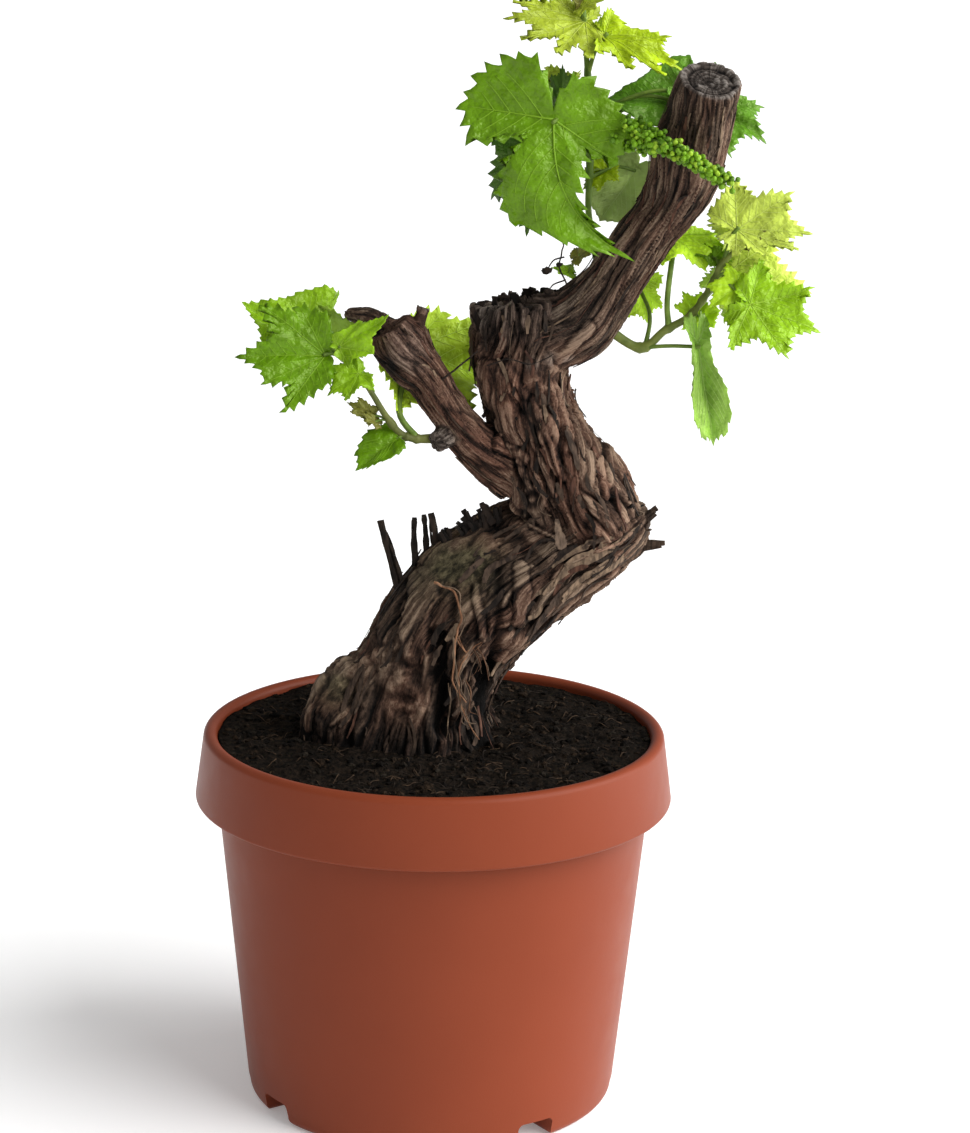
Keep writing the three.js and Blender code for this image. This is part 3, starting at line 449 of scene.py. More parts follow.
def plates(points, seed):
    """Random cells: distance from the border, the cell's own number, and the way along from its middle."""
    base = np.floor(points).astype(np.int64)
    nearest = np.full(len(points), np.inf)
    second = np.full(len(points), np.inf)
    owner = np.zeros(len(points))
    lean = np.zeros(len(points))
    for step in itertools.product((-1, 0, 1), repeat=3):
        cell = base + np.array(step)
        centre = cell + np.stack([hashed(cell, seed + k) for k in range(3)], -1)
        offset = points - centre
        distance = np.linalg.norm(offset, axis=1)
        closer = distance < nearest
        second = np.where(closer, nearest, np.minimum(second, distance))
        owner = np.where(closer, hashed(cell, seed + 3), owner)
        lean = np.where(closer, offset[:, 2], lean)
        nearest = np.minimum(nearest, distance)
    return second - nearest, owner, lean


def lengths_along(path):
    """The length of a path up to each of its points."""
    return np.concatenate([[0], np.cumsum(np.linalg.norm(np.diff(path, axis=0), axis=1))])


def spline(rows, shares):
    """Points on the smooth curve through rows, at shares of its length."""
    rows = np.asarray(rows, float)
    shares = np.atleast_1d(shares)
    last = len(rows) - 1
    place = np.clip(shares, 0, 1) * last
    i = np.minimum(place.astype(int), last - 1)
    f = (place - i)[:, None]
    padded = np.vstack([2 * rows[0] - rows[1], rows, 2 * rows[-1] - rows[-2]])
    p0, p1, p2, p3 = (padded[i + k] for k in range(4))
    square = 2 * p0 - 5 * p1 + 4 * p2 - p3
    cube = 3 * p1 - p0 - 3 * p2 + p3
    return 0.5 * (2 * p1 + (p2 - p0) * f + square * f**2 + cube * f**3)


def limb_frames(rows, count):
    """Centres, radii, ways along, across and third of a limb's rings."""
    shares = np.linspace(0, 1, count)
    path = spline(rows, shares)
    along = unit(spline(rows, shares + 0.001)[:, :3] - spline(rows, shares - 0.001)[:, :3])
    side = np.array((0.0, 1.0, 0.0))
    across = unit(side - along * (along @ side)[:, None])
    return path[:, :3], path[:, 3], along, across, np.cross(along, across)


FRAMES = [limb_frames(limb.rows, FRAME_STEPS) for limb in WOOD]
GIRTHS = [float(np.median([row[3] for row in limb.rows])) for limb in WOOD]


def ring_faces(rings, sides):
    """Faces of a closed tube: four-cornered ones between rings, fans at both ends."""
    i, j = np.meshgrid(np.arange(rings - 1), np.arange(sides), indexing="ij")
    a = (i * sides + j).ravel()
    b = (i * sides + (j + 1) % sides).ravel()
    quads = np.stack([a, b, b + sides, a + sides], -1)
    turn = np.arange(sides)
    after = (turn + 1) % sides
    foot = np.full(sides, rings * sides)
    last = (rings - 1) * sides
    fans = np.vstack([
        np.stack([foot, after, turn], -1),
        np.stack([foot + 1, last + turn, last + after], -1),
    ])
    return [quads, fans]


def ring_ways(across, third, sides):
    """The ways out from a middle line, for each ring and side."""
    turn = full_turn(sides)
    return np.cos(turn)[None, :, None] * across[:, None] + np.sin(turn)[None, :, None] * third[:, None]


def tube(path, radii, sides):
    """A round tube along a path, its rings turned as little as possible."""
    path = np.asarray(path, float)
    along = unit(np.gradient(path, axis=0))
    across = [unit(np.cross(along[0], (0.31, 0.52, 0.8)))]
    for way in along[1:]:
        across.append(unit(across[-1] - way * (across[-1] @ way)))
    across = np.array(across)
    ring = ring_ways(across, np.cross(along, across), sides)
    points = path[:, None] + ring * np.asarray(radii)[:, None, None]
    return np.vstack([points.reshape(-1, 3), path[:1], path[-1:]]), ring_faces(len(path), sides)


def ribbon(path, outward, widths, thickness):
    """A flat strip along a path, its broad side facing outward."""
    path = np.asarray(path, float)
    along = unit(np.gradient(path, axis=0))
    sideways = unit(np.cross(outward, along))
    up = np.cross(along, sideways)
    half = 0.5 * np.asarray(widths)[:, None] * sideways
    rise = 0.5 * thickness * up
    points = np.stack([path + half + rise, path - half + rise, path - half - rise, path + half - rise], 1)
    return np.vstack([points.reshape(-1, 3), path[:1], path[-1:]]), ring_faces(len(path), 4)


def icosphere(subdivisions):
    """Corners and faces of a ball of radius 1."""
    shape = bmesh.new()
    bmesh.ops.create_icosphere(shape, subdivisions=subdivisions, radius=1)
    points = np.array([vertex.co[:] for vertex in shape.verts])
    faces = np.array([[vertex.index for vertex in face.verts] for face in shape.faces])
    shape.free()
    return points, faces


def flat_list(blocks):
    return [face for block in blocks for face in block.tolist()]


def linked(name, mesh):
    made = bpy.data.objects.new(name, mesh)
    bpy.context.scene.collection.objects.link(made)
    return made


def new_mesh(name, points, faces):
    mesh = bpy.data.meshes.new(name)
    mesh.from_pydata((np.asarray(points) * MM).tolist(), [], faces)
    return mesh


def coat(mesh, material):
    """Gives a mesh one material and smooth shading."""
    mesh.materials.clear()
    mesh.materials.append(material)
    mesh.polygons.foreach_set("use_smooth", np.ones(len(mesh.polygons), bool))


def dressed(name, mesh):
    """An object for a finished mesh, riding on the part's one body."""
    piece = linked(name, mesh)
    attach(piece, "root")
    return piece


class Batch:
    """Gathers many small shapes into one mesh, each face with the number of its tint."""

    def __init__(self):
        self.points = []
        self.faces = []
        self.tints = []
        self.count = 0

    def add(self, points, *tinted_blocks):
        for blocks, tint in tinted_blocks:
            for block in blocks:
                self.faces.extend((block + self.count).tolist())
                self.tints.extend([tint] * len(block))
        self.points.append(points)
        self.count += len(points)

    def put(self, shape, tint=0):
        self.add(shape[0], (shape[1], tint))

    def piece(self, name, materials, slot, smooth=True):
        mesh = new_mesh(name, np.vstack(self.points), self.faces)
        for material in materials:
            mesh.materials.append(material)
        mesh.polygons.foreach_set("material_index", np.array(self.tints, np.int32))
        mesh.polygons.foreach_set("use_smooth", np.full(len(mesh.polygons), smooth))
        mesh.update()
        return dressed(name, mesh)


class Finish:
    """A material in the making, with its shader and the coordinates its patterns use."""

    def __init__(self, name, base, roughness, specular=0.3):
        self.material = bpy.data.materials.new(name)
        self.material.use_nodes = True
        self.nodes = self.material.node_tree.nodes
        self.links = self.material.node_tree.links
        self.shader = self.nodes["Principled BSDF"]
        self.give("Base Color", base)
        self.give("Roughness", roughness)
        self.give("Specular IOR Level", specular)
        self.coordinates = self.nodes.new("ShaderNodeTexCoord").outputs["Object"]

    def give(self, socket, value):
        """One value for the whole surface, on the shader's own socket."""
        self.shader.inputs[socket].default_value = value

    def lead(self, source, socket):
        self.links.new(source, self.shader.inputs[socket])

    def node(self, kind, values=(), sources=(), **settings):
        """A new node with its settings, then pairs of socket and value, and of socket and source."""
        made = self.nodes.new(f"ShaderNode{kind}")
        for name, setting in settings.items():
            setattr(made, name, setting)
        for socket, value in values:
            made.inputs[socket].default_value = value
        for socket, source in sources:
            self.links.new(source, made.inputs[socket])
        return made

    def noise(self, scale, detail=4, stretch=None, source=None, roughness=0.5):
        source = source or self.coordinates
        if stretch:
            source = self.node("Mapping", [("Scale", stretch)], [("Vector", source)]).outputs["Vector"]
        values = [("Scale", scale), ("Detail", detail), ("Roughness", roughness)]
        return self.node("TexNoise", values, [("Vector", source)]).outputs["Fac"]

    def cells(self, scale):
        """How far a place is from the border of its random cell."""
        sources = [("Vector", self.coordinates)]
        texture = self.node("TexVoronoi", [("Scale", scale)], sources, feature="DISTANCE_TO_EDGE")
        return texture.outputs["Distance"]

    def attribute(self, name, output="Fac"):
        return self.node("Attribute", attribute_name=name).outputs[output]

    def plus(self, first, second, share):
        """The first value and a share of the second."""
        sources = [(0, second), (2, first)]
        return self.node("Math", [(1, share)], sources, operation="MULTIPLY_ADD").outputs["Value"]

    def ramp(self, source, *stops):
        node = self.node("ValToRGB", sources=[("Fac", source)])
        elements = node.color_ramp.elements
        while len(elements) < len(stops):
            elements.new(0.5)
        for element, (place, value) in zip(elements, stops):
            element.position = place
            element.color = value
        return node.outputs["Color"]

    def mix(self, share, first, second):
        return self.node("Mix", sources=[(0, share), (6, first), (7, second)], data_type="RGBA").outputs[2]

    def paint(self, source):
        self.lead(source, "Base Color")

    def roughen(self, source, low, high):
        node = self.node("MapRange", [("To Min", low), ("To Max", high)], [("Value", source)])
        self.lead(node.outputs["Result"], "Roughness")

    def bump(self, source, distance, strength=1.0):
        """Relief from a pattern, added to the relief that is there."""
        node = self.node("Bump", [("Strength", strength), ("Distance", distance)], [("Height", source)])
        previous = self.shader.inputs["Normal"].links
        if previous:
            self.links.new(previous[0].from_socket, node.inputs["Normal"])
        self.lead(node.outputs["Normal"], "Normal")


def pot_finish():
    finish = Finish("pot_plastic", colour(123, 56, 33), 0.42, 0.12)
    finish.paint(finish.ramp(finish.noise(9, 3), (0.3, colour(120, 54, 32)), (0.7, colour(126, 58, 35))))
    finish.roughen(finish.noise(60, 5), 0.34, 0.5)
    finish.bump(finish.noise(1400, 2), 0.00006, 0.6)
    finish.bump(finish.noise(26, 2), 0.0006, 0.25)
    return finish.material


def plain_grain(name, first, second, roughness, scale, depth, stretch=None, specular=0.2):
    """A finish that wanders between two near colours, with a grain to the touch."""
    finish = Finish(name, colour(*first), roughness, specular)
    cloud = finish.noise(scale, 5, stretch)
    finish.paint(finish.ramp(cloud, (0.38, colour(*first)), (0.64, colour(*second))))
    finish.bump(finish.noise(scale * 2.5, 5, stretch), depth)
    return finish.material


def leaf_finish(name, base, roughness):
    """A leaf's tint, a little paler and darker in patches, puckered, with a vine leaf's fine net."""
    base = np.array(colour(*base)[:3])
    darker, paler = 0.76 * base, np.minimum(1.22 * base, 1)
    finish = Finish(name, (*base, 1.0), roughness, 0.4)
    finish.give("Specular Tint", (0.92, 1.0, 0.5, 1.0))
    finish.paint(finish.ramp(finish.noise(80, 5), (0.32, (*darker, 1.0)), (0.68, (*paler, 1.0))))
    finish.bump(finish.cells(560), 0.0005, 0.7)
    finish.bump(finish.noise(120, 2), 0.005, 0.8)
    return finish.material


# The bark's colours from its crevices to its ridges, the darkest standing for painted shade in the crevices:
# place on the ramp and colour.
BARK_SHADES = {
    "grey": ((0.12, (9, 7, 6)), (0.42, (46, 37, 31)), (0.7, (88, 72, 60)), (1.0, (146, 126, 106))),
    "redness": ((0.12, (12, 8, 6)), (0.42, (58, 39, 31)), (0.7, (104, 73, 59)), (1.0, (154, 122, 102))),
    "moss": ((0.1, (12, 11, 7)), (0.45, (48, 44, 31)), (1.0, (116, 106, 80))),
    "bare": ((0.1, (14, 12, 11)), (0.5, (76, 68, 62)), (1.0, (160, 152, 144))),
}


def bark_finish():
    """Crevices darkened with painted shade, brown and grey plates, reddish and mossy places, weathered wood,
    all fibrous.
    """
    finish = Finish("old_bark", colour(75, 60, 50), 0.92, 0.15)
    grain = finish.attribute("grain", "Vector")
    fibre = finish.noise(1.0, 8, (1.0, 1.0, 0.05), grain, 0.62)
    lumps = finish.noise(1.0, 7, (0.45, 0.45, 0.3), grain, 0.7)
    pattern = finish.mix(finish.attribute("knobbly"), fibre, lumps)
    grit = finish.noise(1.0, 5, (1.9, 1.9, 0.8), grain, 0.6)
    tone = finish.plus(finish.plus(finish.attribute("relief"), pattern, 1.3), grit, 0.6)
    shades = {
        name: finish.ramp(tone, *[(place, colour(*shade)) for place, shade in stops])
        for name, stops in BARK_SHADES.items()
    }
    tinted = shades["grey"]
    for name in ("redness", "moss", "bare"):
        tinted = finish.mix(finish.attribute(name), tinted, shades[name])
    finish.paint(tinted)
    finish.bump(pattern, 0.0016)
    finish.bump(grit, 0.0008)
    return finish.material


def arc(centre_x, centre_z, radius, start, end, count):
    """Points of an arc, between angles in degrees."""
    turns = np.radians(np.linspace(start, end, count + 1))
    return [(centre_x + radius * math.cos(t), centre_z + radius * math.sin(t)) for t in turns]


def wall_outside(height):
    """Outer radius of the pot's tapering wall."""
    return BASE_RADIUS + (WALL_TOP_RADIUS - BASE_RADIUS) * height / POT_HEIGHT


def turned(profile, segments):
    """A closed solid turned about the upright axis; the profile starts and ends on it."""
    profile = np.array(profile)
    turns = full_turn(segments)
    ring = np.stack([np.cos(turns), np.sin(turns)], -1)
    inner = profile[1:-1]
    flat = inner[:, None, :1] * ring[None]
    points = np.concatenate([flat, np.broadcast_to(inner[:, None, 1:], (*flat.shape[:2], 1))], -1)
    ends = np.array([(0, 0, profile[0][1]), (0, 0, profile[-1][1])])
    return np.vstack([points.reshape(-1, 3), ends]), ring_faces(len(inner), segments)


def pot_profile():
    """Half the pot's section, from the middle of its underside round to that of its floor."""
    lip_round = (LIP_RADIUS - LIP_INNER_RADIUS) / 2
    collar_foot = POT_HEIGHT - COLLAR_HEIGHT
    under_lip = POT_HEIGHT - 2 * lip_round + COLLAR_THICKNESS / 2
    heights = np.linspace(BASE_CORNER + 4, under_lip - 4, 12)
    floor_inside = wall_outside(FLOOR_THICKNESS) - WALL_THICKNESS
    return [
        (0, 0),
        (BASE_RADIUS - BASE_CORNER - 20, 0),
        *arc(BASE_RADIUS - BASE_CORNER, BASE_CORNER, BASE_CORNER, -90, 0, 8),
        *[(wall_outside(height), height) for height in heights],
        *arc(wall_outside(under_lip) + 2, under_lip - 2, 2, 180, 90, 4),
        *arc(LIP_RADIUS - COLLAR_THICKNESS - 1, under_lip - 1, 1, 90, 0, 3),
        *arc(COLLAR_RADIUS - COLLAR_THICKNESS + 0.7, collar_foot + 0.7, 0.7, 180, 270, 3),
        *arc(COLLAR_RADIUS - EDGE_ROUND, collar_foot + EDGE_ROUND, EDGE_ROUND, -90, 0, 6),
        *arc(LIP_RADIUS - lip_round, POT_HEIGHT - lip_round, lip_round, 0, 180, 16),
        (floor_inside + 1, FLOOR_THICKNESS + 3),
        (floor_inside - 2, FLOOR_THICKNESS),
        (0, FLOOR_THICKNESS),
    ]


def notch_cutter(turn):
    """A rounded slot with a flared mouth that reaches into the pot's foot from outside."""
    half = NOTCH_WIDTH / 2
    crown = NOTCH_HEIGHT - NOTCH_CORNER
    section = [(half + NOTCH_MOUTH, -2)]
    section += arc(half + NOTCH_MOUTH, NOTCH_MOUTH, NOTCH_MOUTH, 270, 180, 6)
    section += arc(half - NOTCH_CORNER, crown, NOTCH_CORNER, 0, 90, 6)
    section = np.array(section + [(-x, z) for x, z in reversed(section)])
    count = len(section)
    inner = BASE_RADIUS - NOTCH_DEPTH
    points = np.vstack([
        np.stack([section[:, 0], np.full(count, -inner - 40), section[:, 1]], -1),
        np.stack([section[:, 0], np.full(count, -inner), section[:, 1]], -1),
    ])
    spin = np.array(Matrix.Rotation(math.radians(turn), 3, "Z"))
    ring = np.arange(count)
    after = (ring + 1) % count
    faces = np.stack([ring, ring + count, after + count, after], -1).tolist()
    faces += [ring.tolist(), (ring + count)[::-1].tolist()]
    return linked("notch", new_mesh("notch", points @ spin.T, faces))


def applied_mesh(source, name):
    """The mesh of an object with its modifiers applied; the object itself goes."""
    bpy.context.view_layer.update()
    made = bpy.data.meshes.new_from_object(source.evaluated_get(bpy.context.evaluated_depsgraph_get()))
    made.name = name
    bpy.data.objects.remove(source)
    return made


def build_pot():
    """The turned pot with its drain notches cut out."""
    points, faces = turned(pot_profile(), POT_SEGMENTS)
    blank = linked("pot_turned", new_mesh("pot_turned", points, flat_list(faces)))
    cutters = []
    for i in range(NOTCH_COUNT):
        cutters.append(notch_cutter(NOTCH_FIRST_TURN + 360 / NOTCH_COUNT * i))
        cut = blank.modifiers.new("notch", "BOOLEAN")
        cut.object = cutters[-1]
        cut.operation = "DIFFERENCE"
        cut.solver = "EXACT"
    mesh = applied_mesh(blank, "pot_shell")
    for cutter in cutters:
        bpy.data.objects.remove(cutter)
    coat(mesh, pot_finish())
    mesh.set_sharp_from_angle(angle=math.radians(35))
    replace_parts(dressed("pot_shell", mesh), "pot")


def soil_height(points):
    """Height of the rough soil surface at flat places."""
    reach = np.linalg.norm(points[:, :2], axis=1)
    flat = np.column_stack([points[:, :2], np.zeros(len(points))])
    swell = 1.3 * noise(flat / 24, 31) + 0.9 * noise(flat / 8, 32) + 0.6 * noise(flat / 3.2, 33)
    edge = SOIL_EDGE_DROP * smoothstep((reach - 84) / 24)
    return SOIL_TOP + 0.4 - edge + SOIL_SWELL * swell * (1 - 0.5 * smoothstep((reach - 95) / 12))


def soil_finish(name, dark, light):
    return plain_grain(name, dark, light, 0.95, 420, 0.0014, specular=0.05)


def on_soil(radii, turns):
    """Points on the soil's surface."""
    points = np.stack([radii * np.cos(turns), radii * np.sin(turns), np.zeros(np.shape(radii * turns))], -1)
    points = points.reshape(-1, 3)
    points[:, 2] = soil_height(points)
    return points


def build_soil_bed():
    """The body of soil, rough on top."""
    top = on_soil(np.linspace(1.2, SOIL_RADIUS, SOIL_RINGS)[:, None], full_turn(SOIL_SEGMENTS)[None])
    outer = top[-SOIL_SEGMENTS:]
    floor = FLOOR_THICKNESS + 0.3
    foot_radius = wall_outside(floor) - WALL_THICKNESS - 0.4
    shoulder = np.full(SOIL_SEGMENTS, SOIL_TOP - SOIL_SHOULDER)
    side = [
        np.column_stack([outer[:, :2], shoulder]) * (0.985, 0.985, 1),
        np.column_stack([outer[:, :2] / SOIL_RADIUS * foot_radius, np.full(SOIL_SEGMENTS, floor)]),
    ]
    bed = Batch()
    points = np.vstack([top, *side, [(0, 0, SOIL_TOP)], [(0, 0, floor)]])
    bed.put((points, [block[:, ::-1] for block in ring_faces(SOIL_RINGS + 2, SOIL_SEGMENTS)]))
    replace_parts(bed.piece("soil_bed", [soil_finish("soil_mix", (11, 9, 7), (34, 27, 21))], "soil"), "soil")


def build_crumbs(random):
    """Loose crumbs on the soil."""
    crumbs = Batch()
    ball, ball_faces = icosphere(1)
    reach = SOIL_RADIUS * np.sqrt(random.random(CRUMB_COUNT)) * 0.985
    places = on_soil(reach, 2 * np.pi * random.random(CRUMB_COUNT))
    sizes = 0.5 + 1.9 * random.random(CRUMB_COUNT) ** 3
    for place, size in zip(places, sizes):
        lump = ball * (0.7 + 0.6 * random.random((len(ball), 1))) * size * (1.2, 0.9, 0.75)
        spin = np.array(Matrix.Rotation(2 * math.pi * random.random(), 3, "Z"))
        crumbs.put((lump @ spin.T + place, [ball_faces]), int(random.integers(3)))
    crumbs.piece("soil_crumbs", [
        soil_finish("crumb_black", (9, 8, 7), (22, 18, 15)),
        soil_finish("crumb_brown", (22, 17, 13), (48, 38, 29)),
        soil_finish("crumb_grey", (17, 15, 13), (40, 35, 29)),
    ], "soil", smooth=False)


def build_fibres(random):
    """Fine fibres that lie on the soil."""
    fibres = Batch()
    steps = np.linspace(0, 1, FIBRE_STEPS)
    for _ in range(FIBRE_COUNT):
        turn = 2 * np.pi * random.random()
        reach = 0.95 * SOIL_RADIUS * math.sqrt(random.random())
        length = 4 + 9 * random.random()
        heading = 2 * np.pi * random.random() + random.normal(0, 0.9) * steps
        flat = np.cumsum(np.stack([np.cos(heading), np.sin(heading)], -1), 0) * length / FIBRE_STEPS
        flat = flat + (reach * math.cos(turn), reach * math.sin(turn))
        path = np.column_stack([flat, np.zeros(FIBRE_STEPS)])
        rise = 1.6 * random.random()
        tint = int(random.integers(2))
        if np.linalg.norm(path[:, :2], axis=1).max() > SOIL_RADIUS - 1.5:
            continue
        path[:, 2] = soil_height(path) + 0.25 + rise * np.sin(np.pi * steps)
        fibres.put(tube(path, np.linspace(0.3, 0.14, FIBRE_STEPS), 4), tint)
    fibres.piece("soil_fibres", [
        plain_grain("fibre_brown", (44, 33, 23), (72, 55, 39), 0.9, 300, 0.0003),
        plain_grain("fibre_dark", (26, 20, 15), (44, 34, 25), 0.9, 300, 0.0003),
    ], "soil")


def build_soil():
    random = np.random.default_rng(11)
    build_soil_bed()
    build_crumbs(random)
    build_fibres(random)


def limb_shape(limb):
    """The limb by the solids' own rule, with more sides and rings."""
    rings = LIMB_STEPS + 1
    centres, radii, _, across, third = limb_frames(limb.rows, rings)
    turn = full_turn(LIMB_SIDES)
    share = np.linspace(0, 1, rings)[:, None]
    factor = np.ones((rings, LIMB_SIDES))
    for count, depth, start, twist in limb.flutes:
        factor += depth * np.cos(count * turn[None] + start + twist * share)
    outward = ring_ways(across, third, LIMB_SIDES)
    points = centres[:, None] + outward * (radii[:, None] * factor)[:, :, None]
    for x, y, z, height, spread in limb.burls:
        distance = np.linalg.norm(points - np.array((x, y, z)), axis=-1)
        points = points + outward * (height * np.exp(-0.5 * (distance / spread) ** 2))[:, :, None]
    ends = np.vstack([centres[:1], centres[-1:]])
    return np.vstack([points.reshape(-1, 3), ends]), ring_faces(rings, LIMB_SIDES)


def limb_places(index, points):
    """For each point: the way along the limb, the turn about it, and its distance in radii."""
    centres, radii, along, across, third = FRAMES[index]
    squares = (points**2).sum(1)[:, None] - 2 * points @ centres.T + (centres**2).sum(1)[None]
    k = squares.argmin(1)
    away = points - centres[k]
    u = (away * across[k]).sum(1)
    v = (away * third[k]).sum(1)
    forward = (away * along[k]).sum(1)
    beyond = np.where((k == 0) | (k == len(centres) - 1), forward, 0)
    way = lengths_along(centres)[k] + forward
    return way, np.arctan2(v, u), np.sqrt(u**2 + v**2 + beyond**2) / radii[k]


def limb_weight(radii_off):
    """How much a limb counts at a place, by its distance in radii."""
    return 1 / (0.04 + np.clip(radii_off - 0.97, 0, None)) ** 3


def bark(index, way, turn):
    """The bark's height in mm, lightness from crevice 0 to ridge 1 with painted shade in the crevices,
    redness, and places along its grain.
    """
    limb, girth = WOOD[index], GIRTHS[index]
    seed = 20 * index
    width, length = limb.plate_width, limb.plate_length

    def sheet(across, along):
        return np.stack([girth * np.cos(angle) / across, girth * np.sin(angle) / across, way / along], -1)

    angle = turn + limb.twist * way
    sway = limb.sway * width / girth
    angle = angle + sway * noise(sheet(3 * width, 34), seed)
    angle = angle + 0.35 * sway * noise(sheet(1.1 * width, 10), seed + 1)
    gap, owner, lean = plates(sheet(width, length), seed + 2)
    fine_gap, fine_owner, fine_lean = plates(sheet(0.4 * width, 0.4 * length), seed + 6)
    crack = smoothstep(gap / 0.18)
    split = smoothstep(fine_gap / 0.25)
    fibre = 1 - np.abs(noise(sheet(0.3 * width, 0.7 * length), seed + 10))
    shingle = 0.6 * lean * (2 * owner - 0.7) + 0.35 * fine_lean * (2 * fine_owner - 1)
    height = 0.8 * crack + 0.55 * owner + 0.45 * split + 0.3 * fine_owner + 0.35 * fibre**2 + shingle - 1.3
    # Crevices and splits are painted darker as shade; the plates keep their own tones.
    light = 0.34 * crack + 0.18 * split + 0.22 * owner + 0.16 * fine_owner + 0.14 * fibre**3 + limb.tone
    redness = limb.redness + 0.5 * ((owner * 7.31) % 1.0 - 0.5)
    return limb.depth * height, light, redness, sheet(1, 1)


def near(points, place, spread):
    """1 at a place, fading to 0 around it."""
    return np.exp(-0.5 * (np.linalg.norm(points - np.array(place), axis=1) / spread) ** 2)


def flat_distance(points, rows):
    """Distance from a path of x and z rows, seen from the front."""
    flat = points[:, [0, 2]]
    nearest = np.full(len(points), np.inf)
    for start, end in zip(np.array(rows, float), np.array(rows[1:], float)):
        way = end - start
        share = np.clip((flat - start) @ way / (way @ way), 0, 1)
        nearest = np.minimum(nearest, np.linalg.norm(flat - start - share[:, None] * way, axis=1))
    return nearest


def smoothed(points, edges, rounds):
    """Points moved halfway to the middle of their neighbours, a number of times."""
    count = np.bincount(edges.ravel(), minlength=len(points))[:, None]
    for _ in range(rounds):
        total = np.zeros_like(points)
        for a, b in ((0, 1), (1, 0)):
            for axis in range(3):
                total[:, axis] += np.bincount(edges[:, a], points[edges[:, b], axis], len(points))
        points = 0.5 * points + 0.5 * total / count
    return points


def read(collection, field, width, kind=np.float32):
    """One field of a mesh's parts as an array."""
    values = np.empty(len(collection) * width, kind)
    collection.foreach_get(field, values)
    return values.reshape(-1, width) if width > 1 else values


def wood_surface():
    """All limbs as one closed surface, before its bark."""
    whole = Batch()
    for limb in WOOD:
        whole.put(limb_shape(limb))
    rough = linked("limbs", new_mesh("limbs", np.vstack(whole.points), whole.faces))
    remesh = rough.modifiers.new("surface", "REMESH")
    remesh.mode = "VOXEL"
    remesh.voxel_size = VOXEL * MM
    return applied_mesh(rough, "limbs")


def cut_face(points, index, rings):
    """How far points belong to the limb's sawn end, and that end's relief and lightness."""
    centres, radii, along, _, _ = FRAMES[index]
    away = points - centres[-1]
    forward = away @ along[-1]
    reach = np.linalg.norm(away - forward[:, None] * along[-1], axis=1)
    radius = radii[-1]
    share = smoothstep((forward + 0.7) / 0.9) * (reach < 1.25 * radius)
    wavy = reach + 0.9 * noise(points / 5, 51) + 0.4 * noise(points / 1.6, 52)
    ring = np.cos(2 * np.pi * wavy / (radius / rings))
    heart = np.exp(-0.5 * (wavy / (0.34 * radius)) ** 2)
    groove = np.exp(-0.5 * ((wavy - 0.74 * radius) / 1.1) ** 2)
    rim = smoothstep((wavy - 0.82 * radius) / 1.2)
    rough = noise(points / 1.8, 53)
    chips = heart * smoothstep(2.5 * noise(points / 3.1, 58) - 0.3)
    height = 0.3 * ring - 2.4 * heart - 1.0 * groove + 0.5 * rim + 0.4 * rough + 1.2 * chips
    light = 0.62 + 0.2 * ring - 0.3 * heart - 0.36 * groove + 0.06 * rim + 0.3 * rough + 0.6 * chips
    return share, height, light


def blended_bark(points):
    """The limbs' barks at each point, weighed by how near each limb is."""
    count = len(points)
    height, light, redness, total = np.zeros((4, count))
    best = np.zeros(count)
    grain = np.zeros((count, 3))
    for index in range(len(WOOD)):
        way, turn, radii_off = limb_places(index, points)
        weight = limb_weight(radii_off)
        limb_height, limb_light, limb_redness, limb_grain = bark(index, way, turn)
        height += weight * limb_height
        light += weight * limb_light
        redness += weight * limb_redness
        total += weight
        leads = weight > best
        grain[leads] = limb_grain[leads] + 300 * index
        best = np.maximum(best, weight)
    return height / total, light / total, redness / total, grain


